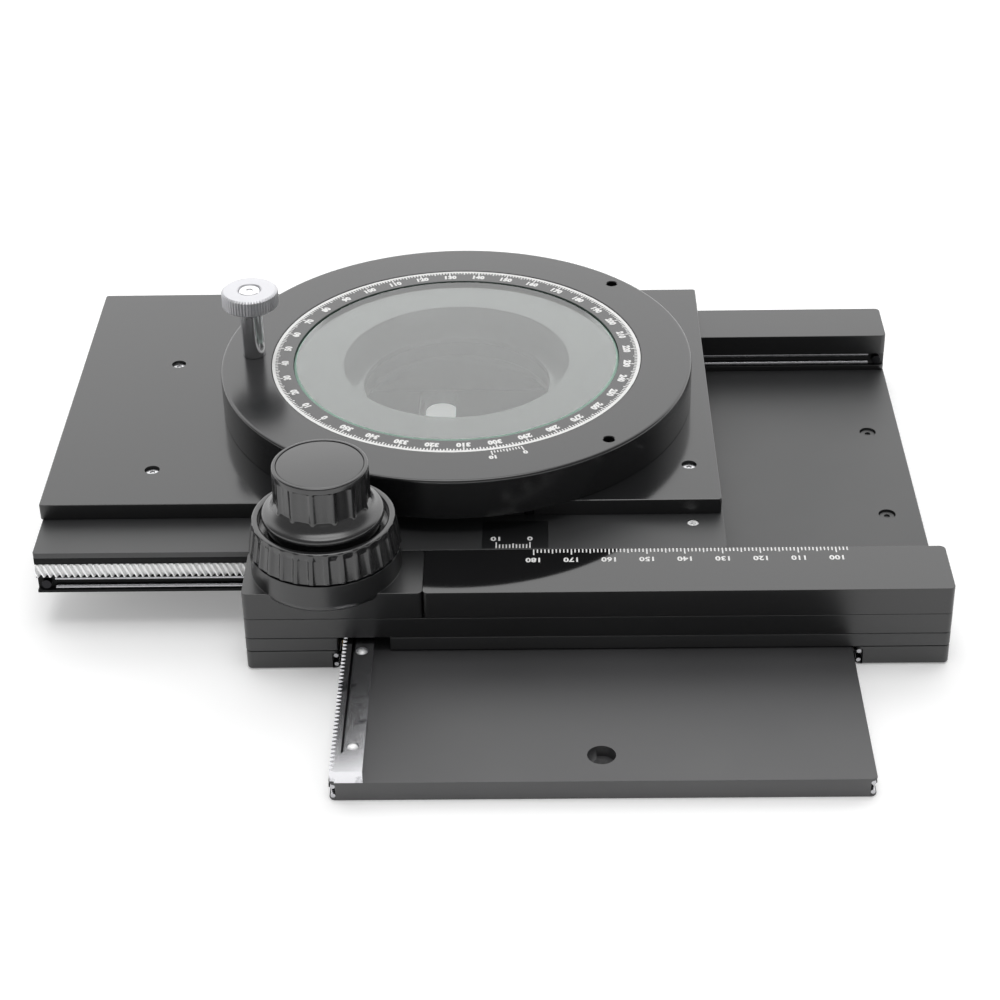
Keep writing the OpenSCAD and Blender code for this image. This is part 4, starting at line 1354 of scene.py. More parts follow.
@dataclass
class DialHousing:
    """The round housing on the top plate and the dial that turns in it."""

    finishes: Finishes
    light_mm: float = 27.0
    wall_mm: float = 53.5
    floor_mm: float = 1.8
    bore_mm: float = 32.5
    seat_mm: float = 47.1
    seat_depth_mm: float = 2.7
    clip_at_mm: float = 63.8
    clip_hole_mm: float = 1.6
    clip_depth_mm: float = 6.0
    clip_angles: tuple[float, float] = (43.5, -47.9)
    stem_hole_mm: float = 3.1
    below_stem_mm: float = 0.3
    mouth_mm: float = 0.2
    hole_facets: int = 48
    facets: int = 256

    def build(self) -> None:
        """Makes the housing and the dial, which are turned parts."""
        self._housing(joint_point("dial_turn"))
        self._dial(joint_point("dial_turn"))

    def _housing(self, centre: Vector) -> None:
        """The housing: a dished ring with blind holes for two stage clips and the lock screw.

        Args:
            centre: A point on its axis.
        """
        low, high = (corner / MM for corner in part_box("ring_housing"))
        radius = (high.x - low.x) / 2
        outline = rounded(
            [
                (self.light_mm, low.z, 0.1),
                (radius, low.z, 0.2),
                (radius, high.z, 0.9),
                (self.wall_mm, high.z, 0.25),
                (self.wall_mm, low.z + self.floor_mm, 0.2),
                (self.light_mm, low.z + self.floor_mm, 0.3),
            ]
        )
        name = "ring_housing_turned"
        solid = to_mesh(turned(outline, centre, self.facets), name)
        cutter = bmesh.new()
        for angle in (math.radians(a) for a in self.clip_angles):
            out = Vector((math.cos(angle), math.sin(angle), 0)) * self.clip_at_mm * MM
            self._hole(cutter, centre + out, self.clip_hole_mm, high.z - self.clip_depth_mm, high.z)
        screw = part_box("lock_stem")
        foot = screw[0].z / MM - self.below_stem_mm
        self._hole(cutter, joint_point("lock_turn"), self.stem_hole_mm, foot, high.z)
        mesh = flattened(to_mesh(bored(solid, cutter), name))
        show(mesh, name, "x_carriage", self.finishes.ring, ["ring_housing"])

    def _hole(
        self, cutter: bmesh.types.BMesh, at: Vector, radius: float, low: float, high: float
    ) -> None:
        """Adds a hole's solid, with a countersunk mouth, to a cutter.

        Args:
            cutter: The mesh that gets it.
            at: A point on the hole's axis, in metres.
            radius: The hole's radius in millimetres.
            low: Height of its floor in millimetres.
            high: Height of the face that it opens in, in millimetres.
        """
        wide = radius + self.mouth_mm
        steps = ((radius, low), (radius, high - self.mouth_mm), (wide, high), (wide, high + 1))
        bm = loft([circle(r * MM, z * MM, self.hole_facets) for r, z in steps])
        bmesh.ops.translate(bm, verts=bm.verts, vec=(at.x, at.y, 0))
        mesh = bpy.data.meshes.new("hole")
        bm.to_mesh(mesh)
        bm.free()
        cutter.from_mesh(mesh)
        bpy.data.meshes.remove(mesh)

    def _dial(self, centre: Vector) -> None:
        """The dial: a ring with a step that the glass rests on.

        Args:
            centre: A point on its axis.
        """
        low, high = (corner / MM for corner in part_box("dial_ring"))
        radius = (high.x - low.x) / 2
        outline = rounded(
            [
                (self.bore_mm, low.z, 0.3),
                (radius, low.z, 0.2),
                (radius, high.z, 0.12),
                (self.seat_mm, high.z, 0.12),
                (self.seat_mm, high.z - self.seat_depth_mm, 0.1),
                (self.bore_mm, high.z - self.seat_depth_mm, 0.3),
            ]
        )
        name = "dial_ring_turned"
        mesh = flattened(to_mesh(turned(outline, centre, self.facets), name))
        show(mesh, name, "dial", self.finishes.dial, ["dial_ring"])


@dataclass
class Knob:
    """A moulded knob with ribs round it, turned from one outline.

    The outline's points are (radius, height, rounding, ribbing) in millimetres. Ribbing is the depth of
    the grooves there, so that the grooves run out at the knob's rims. A groove takes up its share of the
    pitch, with a nearly flat floor, and the rib between two of them is a little crowned.
    """

    name: str
    body: str
    outline: tuple[tuple[float, float, float, float], ...]
    ribs: int
    groove_share: float
    first_turn: float
    finishes: Finishes
    replaces: tuple[str, ...]
    steps_per_rib: int = 16
    crown_share: float = 0.12
    crown_power: int = 3
    floor_power: int = 4

    def groove(self, phase: float) -> float:
        """How deep the scallop is at a place within one rib's share.

        Args:
            phase: The place, from 0 to 1, with the scallop's middle at one half.

        Returns:
            The depth, from 0 on the rib to 1 in the scallop.
        """
        off = abs(phase - 0.5) * 2
        if off >= self.groove_share:
            crown = (1 - off) / (1 - self.groove_share)
            return self.crown_share * crown**self.crown_power
        floor = 1 - (off / self.groove_share) ** self.floor_power
        return self.crown_share + (1 - self.crown_share) * floor

    def share(self) -> bmesh.types.BMesh:
        """One rib's share of the knob.

        Returns:
            The share, open on its two sides.
        """
        points = rounded([(r, z, c) for r, z, c, _ in self.outline])
        depths = self._depths(points)
        pitch = 2 * math.pi / self.ribs
        columns = []
        for step in range(self.steps_per_rib + 1):
            phase = step / self.steps_per_rib
            angle = self.first_turn + pitch * (phase - 0.5)
            column = []
            for (r, z), depth in zip(points, depths):
                cut = (r - depth * self.groove(phase)) * MM
                column.append(Vector((cut * math.cos(angle), cut * math.sin(angle), z * MM)))
            columns.append(column)
        return sector(columns)

    def _depths(self, points: Sequence[tuple[float, float]]) -> list[float]:
        """The groove's depth at each point of the rounded outline, shared out between the corners.

        Args:
            points: The rounded outline.

        Returns:
            The depths in millimetres.
        """
        depths = []
        corners = [(Vector((r, z)), depth) for r, z, _, depth in self.outline]
        for point in points:
            here = Vector(point)
            best, value = math.inf, 0.0
            for (a, da), (b, db) in zip(corners, corners[1:] + corners[:1]):
                along = (b - a).length_squared
                t = min(1.0, max(0.0, (here - a).dot(b - a) / along)) if along else 0.0
                off = (here - a.lerp(b, t)).length
                if off < best:
                    best, value = off, da + (db - da) * t
            depths.append(value)
        return depths

    def build(self, trees: dict[Repeat, RepeatTree], centre: Vector) -> None:
        """Makes the knob about its axis.

        Args:
            trees: The trees that repeat shapes.
            centre: A point on the knob's axis.
        """
        moulded = self.finishes.moulded
        mesh = trees[Repeat.ROUND].grow(
            self.name, {"Count": self.ribs, "Material": moulded}, self.share()
        )
        bm = bmesh.new()
        bm.from_mesh(mesh)
        bmesh.ops.recalc_face_normals(bm, faces=bm.faces)
        bmesh.ops.translate(bm, verts=bm.verts, vec=(centre.x, centre.y, 0))
        bpy.data.meshes.remove(mesh)
        show(bm, self.name, self.body, moulded, self.replaces)


@dataclass
class Drive:
    """The coaxial knobs: the large one drives the X carriage and the small one the Y carriage."""

    finishes: Finishes
    trees: dict[Repeat, RepeatTree]
    large_turn: float = -78.0
    small_turn: float = -84.0
    cap_mm: float = 11.38
    cap_dome_mm: float = 0.05
    facets: int = 120

    def build(self) -> None:
        """Makes both knobs and the small one's cap."""
        centre = joint_point("x_knob_turn")
        self._large(centre)
        self._small(centre)
        self._cap(centre)

    def _large(self, centre: Vector) -> None:
        """The large knob, which flares towards its foot.

        Args:
            centre: A point on its axis.
        """
        low, high = (corner.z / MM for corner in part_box("x_knob"))
        foot, crown, sleeve, recess = 20.1, 18.9, 4.05, 17.0
        floor = high - 3.0
        outline = (
            (sleeve, low, 0.0, 0.0),
            (foot - 0.3, low, 0.2, 0.25),
            (foot, low + 0.35, 0.3, 0.6),
            (crown + 0.2, high - 2.2, 1.2, 0.6),
            (crown, high - 1.3, 0.6, 0.25),
            (crown - 0.1, high, 1.3, 0.0),
            (recess, high, 0.6, 0.0),
            (recess, floor, 0.2, 0.0),
            (sleeve, floor, 0.0, 0.0),
        )
        Knob(
            "x_knob_ribbed",
            "x_drive",
            outline,
            ribs=30,
            groove_share=0.72,
            first_turn=math.radians(self.large_turn),
            finishes=self.finishes,
            replaces=("x_knob",),
        ).build(self.trees, centre)

    def _small(self, centre: Vector) -> None:
        """The small knob, whose foot spreads into a round flange.

        Args:
            centre: A point on its axis.
        """
        low, high = (corner.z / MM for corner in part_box("y_knob"))
        flange, body, shaft, seat = 16.0, 12.7, 2.02, 11.5
        flange_low = low + 2.9
        flange_top = flange_low + 1.9
        cap_floor = high - 1.2
        outline = (
            (shaft, low, 0.0, 0.0),
            (flange - 1.2, low, 0.3, 0.0),
            (flange - 1.2, flange_low, 0.2, 0.0),
            (flange, flange_low, 0.2, 0.0),
            (flange, flange_top - 0.4, 0.9, 0.0),
            (body + 1.3, flange_top + 0.4, 1.4, 0.0),
            (body + 0.1, flange_top + 1.9, 0.9, 0.0),
            (body, flange_top + 2.6, 0.4, 0.6),
            (body - 0.1, high - 2.1, 0.3, 0.6),
            (body - 0.1, high - 1.6, 0.3, 0.0),
            (body - 0.2, high, 1.0, 0.0),
            (seat, high, 0.15, 0.0),
            (seat, cap_floor, 0.1, 0.0),
            (shaft, cap_floor, 0.0, 0.0),
        )
        Knob(
            "y_knob_fluted",
            "y_drive",
            outline,
            ribs=14,
            groove_share=0.84,
            first_turn=math.radians(self.small_turn),
            finishes=self.finishes,
            replaces=("y_knob",),
            steps_per_rib=24,
        ).build(self.trees, centre)

    def _cap(self, centre: Vector) -> None:
        """The cap in the small knob's top: a very slightly domed disc.

        Args:
            centre: A point on its axis.
        """
        low, high = (corner.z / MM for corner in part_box("y_knob_cap"))
        rim = high - self.cap_dome_mm
        outline = rounded(
            [(0.0, low, 0), (self.cap_mm, low, 0.1), (self.cap_mm, rim, 0.2), (0.0, high, 0)]
        )
        bm = turned(outline, centre, self.facets)
        moulded = self.finishes.moulded
        show(bm, "y_knob_cap_domed", "y_drive", moulded, ["y_knob_cap"])


@dataclass
class LockScrew:
    """The chromed screw that clamps the dial: a knurled head on a tall stem."""

    finishes: Finishes
    trees: dict[Repeat, RepeatTree]
    radius: float = 8.1
    ridges: int = 56
    ridge_mm: float = 0.28
    stem: float = 3.2
    chamfer: float = 0.8
    thread_step_mm: float = 0.15
    point_mm: float = 1.0
    end_chamfer_mm: float = 0.35
    centre_mark_mm: tuple[float, float] = (1.1, 0.9)
    centre_depth_mm: float = 0.25
    facets: int = 64

    def build(self) -> None:
        """Makes the knurled head and the stem."""
        centre = joint_point("lock_turn")
        low, high = (corner.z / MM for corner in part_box("lock_knob"))
        edge = self.radius - self.chamfer
        bore = self.stem + 0.02
        # Radius, height and how much of the knurl's depth there is at each point.
        points = [
            (bore, low, 0.0),
            (edge, low, 0.0),
            (self.radius, low + 0.7 * self.chamfer, 1.0),
            (self.radius, high - 0.7 * self.chamfer, 1.0),
            (edge + 0.15, high - 0.05, 0.0),
            (edge - 0.1, high, 0.0),
            (bore + 0.35, high, 0.0),
            (bore, high - 0.35, 0.0),
        ]
        pitch = 2 * math.pi / self.ridges
        columns = []
        # Across one ridge: valley, the ridge's two shoulders, valley.
        for phase, cut in ((-0.5, 1.0), (-0.2, 0.0), (0.2, 0.0), (0.5, 1.0)):
            angle = pitch * phase
            column = []
            for r, z, ridged in points:
                reach = (r - cut * ridged * self.ridge_mm) * MM
                column.append(Vector((reach * math.cos(angle), reach * math.sin(angle), z * MM)))
            columns.append(column)
        name = "lock_knob_knurled"
        mesh = self.trees[Repeat.ROUND].grow(
            name, {"Count": self.ridges, "Material": self.finishes.knurled}, sector(columns)
        )
        mesh.transform(Matrix.Translation((centre.x, centre.y, 0)))
        show(mesh, name, "lock", None, ["lock_knob"])
        self._stem(centre)

    def _stem(self, centre: Vector) -> None:
        """The stem, with a chamfered end that shows in the head's middle.

        Args:
            centre: A point on its axis.
        """
        low, high = (corner.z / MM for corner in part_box("lock_stem"))
        ring_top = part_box("ring_housing")[1].z / MM
        thread = self.stem - self.thread_step_mm
        wide, narrow = self.centre_mark_mm
        outline = [
            (0.0, low),
            (thread - self.point_mm, low),
            (thread, low + self.point_mm),
            (thread, ring_top + 0.1),
            (self.stem, ring_top + 0.1),
            (self.stem, high - self.end_chamfer_mm),
            (self.stem - self.end_chamfer_mm, high),
            (wide, high),
            (narrow, high - self.centre_depth_mm),
            (0.0, high - self.centre_depth_mm),
        ]
        bm = turned(outline, centre, self.facets)
        show(bm, "lock_stem_turned", "lock", self.finishes.chrome, ["lock_stem"])


@dataclass
class Glass:
    """The round stage glass with its ground and chamfered edge."""

    finishes: Finishes
    radius: float = 46.95
    chamfer: float = 0.7
    lift: float = 0.06
    gap: float = 0.01
    facets: int = 256

    def build(self) -> None:
        """Makes the glass, and its frosted edge as a ring of its own, in place of the CAD disc."""
        centre = joint_point("dial_turn")
        low, high = (corner.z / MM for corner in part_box("stage_glass"))
        low += self.lift
        rim = self.radius - self.chamfer
        disc = turned([(0.0, low), (rim, low), (rim, high), (0.0, high)], centre, self.facets)
        clear, ground = self.finishes.glass, self.finishes.ground_glass
        show(disc, "stage_glass_polished", "dial", clear, ["stage_glass"])
        outline = [
            (rim + self.gap, low),
            (self.radius, low + self.chamfer),
            (self.radius, high - self.chamfer),
            (rim + self.gap, high),
        ]
        edge = turned(outline, centre, self.facets)
        show(edge, "stage_glass_ground_edge", "dial", ground)


@dataclass
class Scales:
    """The printed scales: X on the front bar with its vernier, and degrees on the dial with theirs."""

    finishes: Finishes
    trees: dict[Repeat, RepeatTree]
    tick_mm: float = 0.36
    highest: int = 180
    lowest: int = 97
    highest_x: float = -16.45
    bar_edge_mm: float = 0.15
    numeral_mm: tuple[float, float] = (1.4, 2.1)
    numeral_in_mm: float = 5.0
    vernier_ticks: int = 11
    vernier_x: float = -17.44
    vernier_reach_mm: float = 9.0
    vernier_edge_mm: float = 0.1
    vernier_numeral_mm: tuple[float, float] = (1.5, 1.9)
    vernier_numeral_in_mm: float = 4.5
    dial_tick_mm: float = 0.4
    dial_numeral_mm: tuple[float, float] = (1.4, 2.2)
    dial_numeral_at_mm: float = 49.5
    dial_bold: float = 0.065
    border_mm: float = 1.0
    dial_zero: float = -136.3
    dial_edge: float = 53.35
    dial_facets: int = 256
    ring_vernier_at: float = -69.5
    ring_vernier_step: float = -0.9
    ring_vernier_mm: float = 54.0
    ring_numeral_mm: tuple[float, float] = (1.3, 1.7)
    ring_numeral_at_mm: float = 57.3

    def build(self) -> None:
        """Prints the four scales."""
        self._x_scale()
        self._x_vernier()
        self._dial()
        self._ring_vernier()

    def _print(self, meshes: Sequence[bpy.types.Mesh], name: str, body: str) -> None:
        """Joins one scale's ticks or numbers and shows them."""
        show(joined(meshes, name), name, body, self.finishes.print)

    def _ticks(
        self,
        kind: Repeat,
        name: str,
        lengths_mm: tuple[float, float, float],
        values: dict[str, Any],
        at: tuple[float, float, float],
    ) -> bpy.types.Mesh:
        """Grows one scale's ticks and puts them in their place.

        Args:
            kind: A straight or a round scale.
            name: The mesh's name.
            lengths_mm: How long a tick is, and every fifth and every tenth.
            values: The tree's other inputs.
            at: Where the first tick or the round scale's middle goes, in metres.

        Returns:
            The ticks.
        """
        given = {"Width": self.tick_mm * MM, "Height": PRINT_MM * MM, "Material": self.finishes.print}
        for size, length in zip(("Short", "Medium", "Long"), lengths_mm):
            given[size] = length * MM
        ticks = self.trees[kind].grow(name, {**given, **values})
        ticks.transform(Matrix.Translation(at))
        return ticks

    def _behind(
        self, text: str, size_mm: tuple[float, float], at: tuple[float, float, float]
    ) -> bpy.types.Mesh:
        """A number that reads from behind the stage.

        Args:
            text: The digits.
            size_mm: Width and height of a nought.
            at: Where its middle goes, in metres.

        Returns:
            The number.
        """
        number = numeral_mesh(text, *size_mm)
        number.transform(Matrix.Translation(at) @ Matrix.Rotation(math.pi, 4, "Z"))
        return number

    def _round(
        self, text: str, size_mm: tuple[float, float], angle: float, radius_mm: float, top: float
    ) -> bpy.types.Mesh:
        """A number beside a round scale, with its foot towards the dial's axis.

        Args:
            text: The digits.
            size_mm: Width and height of a nought.
            angle: Where it stands round the dial, in radians.
            radius_mm: How far it stands from the axis.
            top: Height of the face that it is printed on, in metres.

        Returns:
            The number.
        """
        centre = joint_point("dial_turn")
        number = numeral_mesh(text, *size_mm, self.dial_bold)
        out = Vector((math.cos(angle), math.sin(angle), 0)) * radius_mm * MM
        spot = Matrix.Translation((centre.x + out.x, centre.y + out.y, top))
        number.transform(spot @ Matrix.Rotation(angle - math.pi / 2, 4, "Z"))
        return number

    def _x_scale(self) -> None:
        """The whole-millimetre scale along the front bar's rear edge; its numbers read from behind."""
        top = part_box("scale_bar")[1]
        edge = top.y - self.bar_edge_mm * MM
        count = self.highest - self.lowest + 1
        ticks = self._ticks(
            Repeat.STRAIGHT_TICKS,
            "x_scale_ticks",
            (1.6, 2.0, 2.6),
            {"Count": count, "Step": 1 * MM, "Turn": math.pi},
            (self.highest_x * MM, edge, top.z),
        )
        self._print([ticks], "x_scale_ticks", "y_carriage")
        numbers = []
        for value in range(self.highest, self.lowest, -10):
            x = (self.highest_x + self.highest - value) * MM
            spot = (x, edge - self.numeral_in_mm * MM, top.z)
            numbers.append(self._behind(str(value), self.numeral_mm, spot))
        self._print(numbers, "x_scale_numbers", "y_carriage")

    def _x_vernier(self) -> None:
        """Ten divisions over nine millimetres, on the vernier plate's front edge."""
        low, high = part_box("vernier_plate")
        edge = low.y + self.vernier_edge_mm * MM
        zero_x, reach = self.vernier_x, self.vernier_reach_mm
        step = reach / (self.vernier_ticks - 1) * MM
        ticks = self._ticks(
            Repeat.STRAIGHT_TICKS,
            "x_vernier_ticks",
            (1.8, 2.2, 2.8),
            {"Count": self.vernier_ticks, "Step": step, "Turn": 0.0},
            ((zero_x - reach) * MM, edge, high.z),
        )
        numbers = []
        for text, x in (("0", zero_x), ("10", zero_x - reach)):
            spot = (x * MM, edge + self.vernier_numeral_in_mm * MM, high.z)
            numbers.append(self._behind(text, self.vernier_numeral_mm, spot))
        self._print([ticks, *numbers], "x_vernier_print", "x_carriage")

    def _dial(self) -> None:
        """A white border with a tick at every degree, and a number at every tenth."""
        centre = joint_point("dial_turn")
        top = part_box("dial_ring")[1].z
        ticks = self._ticks(
            Repeat.ARC_TICKS,
            "dial_ticks",
            (0.8, 1.2, 1.6),
            {
                "Count": 360,
                "Step": -math.radians(1),
                "Start": math.radians(self.dial_zero),
                "Radius": (self.dial_edge - self.border_mm) * MM,
                "Turn": math.pi / 2,
                "Width": self.dial_tick_mm * MM,
            },
            (centre.x, centre.y, top),
        )
        inner, outer = self.dial_edge - self.border_mm - 0.05, self.dial_edge - 0.1
        low, high = top / MM, top / MM + PRINT_MM
        outline = [(inner, low), (outer, low), (outer, high), (inner, high)]
        border = to_mesh(turned(outline, centre, self.dial_facets), "border")
        self._print([ticks, border], "dial_ticks", "dial")
        numbers = []
        for value in range(0, 360, 10):
            angle = math.radians(self.dial_zero - value)
            size, radius = self.dial_numeral_mm, self.dial_numeral_at_mm
            numbers.append(self._round(str(value), size, angle, radius, top))
        self._print(numbers, "dial_numbers", "dial")

    def _ring_vernier(self) -> None:
        """The fixed vernier beside the dial: ten divisions over nine degrees."""
        centre = joint_point("dial_turn")
        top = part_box("ring_housing")[1].z
        ticks = self._ticks(
            Repeat.ARC_TICKS,
            "ring_vernier_ticks",
            (1.1, 1.4, 2.3),
            {
                "Count": self.vernier_ticks,
                "Step": math.radians(self.ring_vernier_step),
                "Start": math.radians(self.ring_vernier_at),
                "Radius": self.ring_vernier_mm * MM,
                "Turn": -math.pi / 2,
            },
            (centre.x, centre.y, top),
        )
        numbers = []
        for turns in (0, 10):
            angle = math.radians(self.ring_vernier_at + self.ring_vernier_step * turns)
            size, radius = self.ring_numeral_mm, self.ring_numeral_at_mm
            numbers.append(self._round(str(turns), size, angle, radius, top))
        self._print([ticks, *numbers], "ring_vernier_print", "x_carriage")


@dataclass
class Screws:
    """The screws that show: socketed heads, the rack's domed heads and the slide bar's set screw."""

    finishes: Finishes
    trees: dict[Repeat, RepeatTree]
    shank_share: float = 0.55
    edge_share: float = 0.1
    mouth_share: float = 1.1
    mouth_depth_share: float = 0.08
    domed_shank_share: float = 0.5
    dome_share: float = 0.75
    dome_steps: int = 6
    slot_share: float = 0.22
    facets: int = 24

    def head(
        self, radius: float, height: float, across: float, depth: float, shank: float
    ) -> bmesh.types.BMesh:
        """One screw with its head's top at height zero, in millimetres.

        Args:
            radius: The head's radius.
            height: The head's height.
            across: The socket's width across its flats.
            depth: The socket's depth.
            shank: How far the shank reaches below the head.

        Returns:
            The screw.
        """
        edge = self.edge_share * radius
        rings = [
            circle(self.shank_share * radius * MM, -(height + shank) * MM, self.facets),
            circle(self.shank_share * radius * MM, -height * MM, self.facets),
            circle((radius - edge / 2) * MM, -height * MM, self.facets),
            circle(radius * MM, -(height - edge / 2) * MM, self.facets),
            circle(radius * MM, -edge * MM, self.facets),
            circle((radius - edge) * MM, 0, self.facets),
            polygon_ring(across * self.mouth_share * MM, 6, 0, self.facets),
            polygon_ring(across * MM, 6, -self.mouth_depth_share * across * MM, self.facets),
            polygon_ring(across * MM, 6, -depth * MM, self.facets),
            circle(0.05 * across * MM, -(depth + 0.1) * MM, self.facets),
        ]
        return loft(rings)

    def domed(
        self, radius: float, height: float, shank: float, slot: float
    ) -> bmesh.types.BMesh:
        """One slotted screw with a domed head, its crown at height zero, in millimetres.

        Args:
            radius: The head's radius.
            height: The head's height.
            shank: How far the shank reaches below the head.
            slot: The slot's depth.

        Returns:
            The screw.
        """
        inner = self.domed_shank_share * radius
        rings = [
            circle(inner * MM, -(height + shank) * MM, self.facets),
            circle(inner * MM, -height * MM, self.facets),
            circle(radius * MM, -height * MM, self.facets),
        ]
        for step in range(self.dome_steps):
            angle = step / self.dome_steps * math.pi / 2
            level = -self.dome_share * height * (1 - math.sin(angle)) * MM
            rings.append(circle(radius * math.cos(angle) * MM, level, self.facets))
        solid = to_mesh(loft(rings), "domed")
        cutter = bmesh.new()
        bmesh.ops.create_cube(cutter, size=1.0)
        size = Vector((3 * radius, self.slot_share * radius, 2 * slot)) * MM
        bmesh.ops.scale(cutter, verts=cutter.verts, vec=size)
        return bored(solid, cutter)

    def _set_out(
        self,
        node: str,
        body: str,
        material: bpy.types.Material,
        grid: tuple[int, int, float],
        bm: bmesh.types.BMesh,
    ) -> None:
        """Sets out a node's screws on a grid that fills its box.

        Args:
            node: The CAD node that they replace.
            body: The body that carries them.
            material: Their finish.
            grid: Number of columns and rows, and the head's radius in millimetres.
            bm: One screw, which is used up.
        """
        low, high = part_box(node)
        columns, rows, radius = grid
        span_x = high.x - low.x - 2 * radius * MM
        span_y = high.y - low.y - 2 * radius * MM
        name = f"{node}_headed"
        mesh = self.trees[Repeat.GRID].grow(
            name,
            {
                "Count": columns * rows,
                "Columns": columns,
                "Pitch X": span_x / max(columns - 1, 1),
                "Pitch Y": span_y / max(rows - 1, 1),
                "Material": material,
            },
            bm,
        )
        mesh.transform(Matrix.Translation((low.x + radius * MM, low.y + radius * MM, high.z)))
        show(mesh, name, body, None, [node])

    def build(self) -> None:
        """Sets out each kind of screw."""
        steel, milled, black = self.finishes.steel, self.finishes.milled, self.finishes.deck
        screw = self.head(radius=2.0, height=1.4, across=1.3, depth=0.3, shank=3.4)
        self._set_out("top_plate_screws", "x_carriage", steel, (2, 2, 2.0), screw)
        screw = self.head(radius=2.25, height=2.5, across=1.5, depth=0.5, shank=5.0)
        self._set_out("side_rail_screws", "y_carriage", black, (2, 4, 2.25), screw)
        screw = self.domed(radius=1.55, height=1.9, shank=5.5, slot=0.3)
        self._set_out("y_rack_screws", "base", milled, (1, 3, 1.55), screw)
        screw = self.head(radius=1.7, height=1.2, across=1.5, depth=0.9, shank=8.0)
        self._set_out("slide_set_screw", "x_carriage", milled, (1, 1, 1.7), screw)


# ---------------------------------------------------------------- table, light and camera


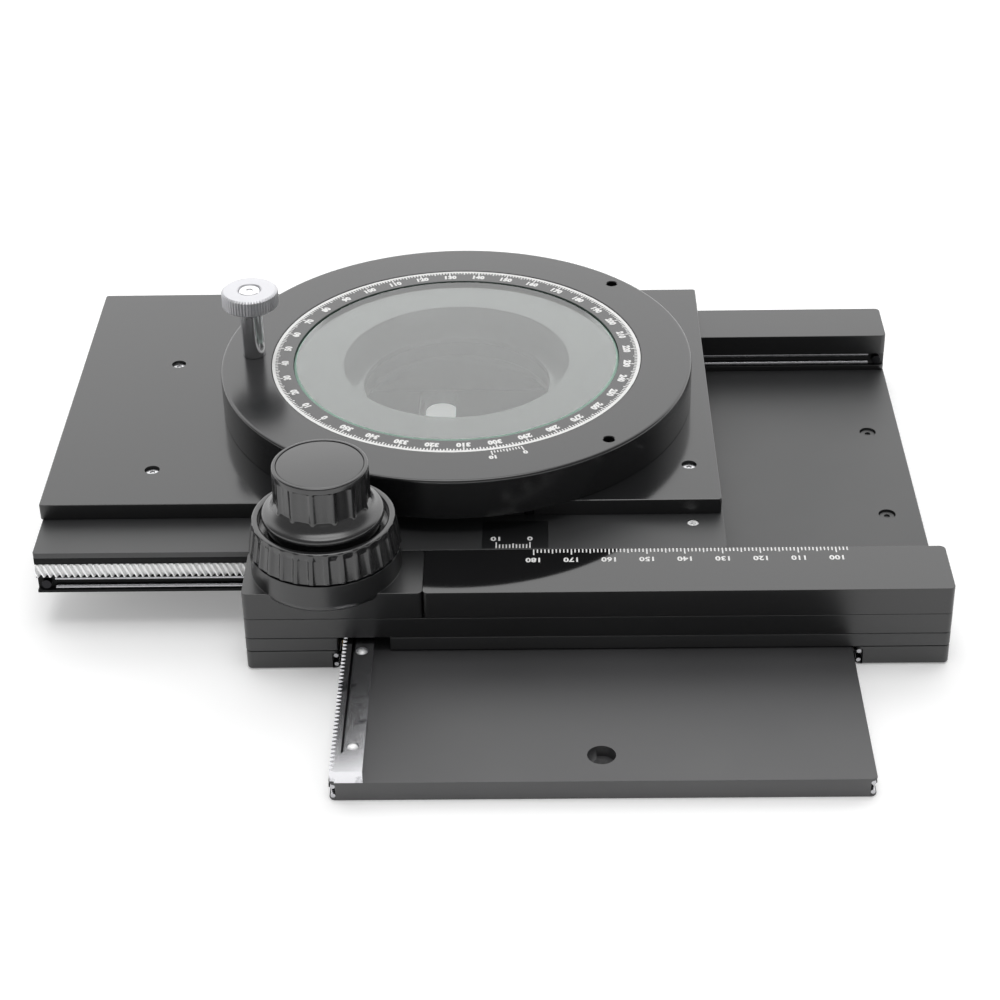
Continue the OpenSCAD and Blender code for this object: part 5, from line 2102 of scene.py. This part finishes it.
@dataclass
class Studio:
    """A pale table under plain soft light, brightest behind the object."""

    room: float = 0.38
    behind: float = 1.45
    behind_edge: tuple[float, float] = (0.2, 0.6)
    above: float = 3.4
    above_edge: tuple[float, float] = (0.92, 0.97)
    table_mm: float = 4000.0
    table_colour: str = "#f2f2f2"
    lift: float = 0.22
    mirrored_lift: float = 0.35
    lens_mm: float = 83.9
    sensor_mm: float = 36.0
    camera_mm: tuple[float, float, float] = (-14.27, -564.08, 370.47)
    pitch: float = -32.75
    yaw: float = -1.21
    roll: float = -1.20

    def build(self) -> None:
        """Makes the table, the light and the camera."""
        self._table()
        self._world()
        self._camera()
        bpy.context.scene.view_settings.view_transform = "Standard"

    def _table(self) -> None:
        """A large plain table, white to the camera and in reflections, that keeps the shadow."""
        half = self.table_mm / 2 * MM
        bm = bmesh.new()
        corners = ((-half, -half), (half, -half), (half, half), (-half, half))
        bm.faces.new([bm.verts.new((x, y, 0)) for x, y in corners])
        mesh = bpy.data.meshes.new("table")
        bm.to_mesh(mesh)
        bm.free()
        table = bpy.data.objects.new("table", mesh)
        bpy.context.scene.collection.objects.link(table)
        material = bpy.data.materials.new("pale_table")
        material.use_nodes = True
        tree = material.node_tree
        tree.nodes.clear()
        path = add_node(tree, "ShaderNodeLightPath")
        lift = add_node(
            tree,
            "ShaderNodeMath",
            {"operation": "MULTIPLY"},
            {0: path.outputs["Is Camera Ray"], 1: self.lift},
        )
        strength = add_node(
            tree,
            "ShaderNodeMath",
            {"operation": "MULTIPLY_ADD"},
            {0: path.outputs["Is Glossy Ray"], 1: self.mirrored_lift, 2: lift.outputs[0]},
        )
        paint = add_node(tree, "ShaderNodeBsdfDiffuse", None, {"Color": srgb(self.table_colour)})
        glow = add_node(
            tree, "ShaderNodeEmission", None, {"Color": (1, 1, 1, 1), "Strength": strength.outputs[0]}
        )
        both = add_node(tree, "ShaderNodeAddShader", None, {0: paint.outputs[0], 1: glow.outputs[0]})
        add_node(tree, "ShaderNodeOutputMaterial", None, {"Surface": both.outputs[0]})
        mesh.materials.append(material)

    def _world(self) -> None:
        """Soft light all round, brightest from behind and above; plain white to the camera."""
        world = bpy.data.worlds.new("soft_room")
        bpy.context.scene.world = world
        world.use_nodes = True
        tree = world.node_tree
        tree.nodes.clear()
        place = add_node(tree, "ShaderNodeTexCoord")
        parts = add_node(tree, "ShaderNodeSeparateXYZ", None, {0: place.outputs["Generated"]})
        behind = add_node(
            tree,
            "ShaderNodeMapRange",
            {"interpolation_type": "SMOOTHSTEP"},
            {
                "Value": parts.outputs[1],
                "From Min": self.behind_edge[0],
                "From Max": self.behind_edge[1],
                "To Min": self.room,
                "To Max": self.room + self.behind,
            },
        )
        above = add_node(
            tree,
            "ShaderNodeMapRange",
            {"interpolation_type": "SMOOTHSTEP"},
            {
                "Value": parts.outputs[2],
                "From Min": self.above_edge[0],
                "From Max": self.above_edge[1],
                "To Min": 0.0,
                "To Max": self.above,
            },
        )
        total = add_node(
            tree, "ShaderNodeMath", {"operation": "ADD"}, {0: behind.outputs[0], 1: above.outputs[0]}
        )
        path = add_node(tree, "ShaderNodeLightPath")
        light = add_node(
            tree, "ShaderNodeBackground", None, {"Color": (1, 1, 1, 1), "Strength": total.outputs[0]}
        )
        white = add_node(tree, "ShaderNodeBackground", None, {"Color": (1, 1, 1, 1), "Strength": 1.0})
        mixed = add_node(
            tree,
            "ShaderNodeMixShader",
            None,
            {0: path.outputs["Is Camera Ray"], 1: light.outputs[0], 2: white.outputs[0]},
        )
        add_node(tree, "ShaderNodeOutputWorld", None, {"Surface": mixed.outputs[0]})

    def _camera(self) -> None:
        """The camera at the photograph's place, angle and focal length."""
        pitch, yaw, roll = (math.radians(a) for a in (self.pitch, self.yaw, self.roll))
        ahead = Vector(
            (math.sin(yaw) * math.cos(pitch), math.cos(yaw) * math.cos(pitch), math.sin(pitch))
        )
        right = Vector((math.cos(yaw), -math.sin(yaw), 0))
        up = right.cross(ahead)
        right, up = (
            math.cos(roll) * right + math.sin(roll) * up,
            math.cos(roll) * up - math.sin(roll) * right,
        )
        turn = Matrix((right, up, -ahead)).transposed().to_4x4()
        lens = bpy.data.cameras.new("camera")
        lens.lens = self.lens_mm
        lens.sensor_width = self.sensor_mm
        lens.clip_start = 0.01
        camera = bpy.data.objects.new("camera", lens)
        camera.matrix_world = Matrix.Translation(Vector(self.camera_mm) * MM) @ turn
        bpy.context.scene.collection.objects.link(camera)
        bpy.context.scene.camera = camera


def main() -> None:
    """Dresses the stage, sub-assembly by sub-assembly, and lights it."""
    logging.basicConfig(level=logging.INFO, format="%(name)s: %(message)s")
    Studio().build()
    finishes = Finishes()
    trees = {kind: RepeatTree(kind) for kind in Repeat}
    CarriedOverNodes(finishes).dress()
    Plates(finishes).build()
    SlitRack(finishes).build()
    DialHousing(finishes).build()
    Drive(finishes, trees).build()
    LockScrew(finishes, trees).build()
    Glass(finishes).build()
    Scales(finishes, trees).build()
    Screws(finishes, trees).build()


if __name__ == "__main__":
    main()
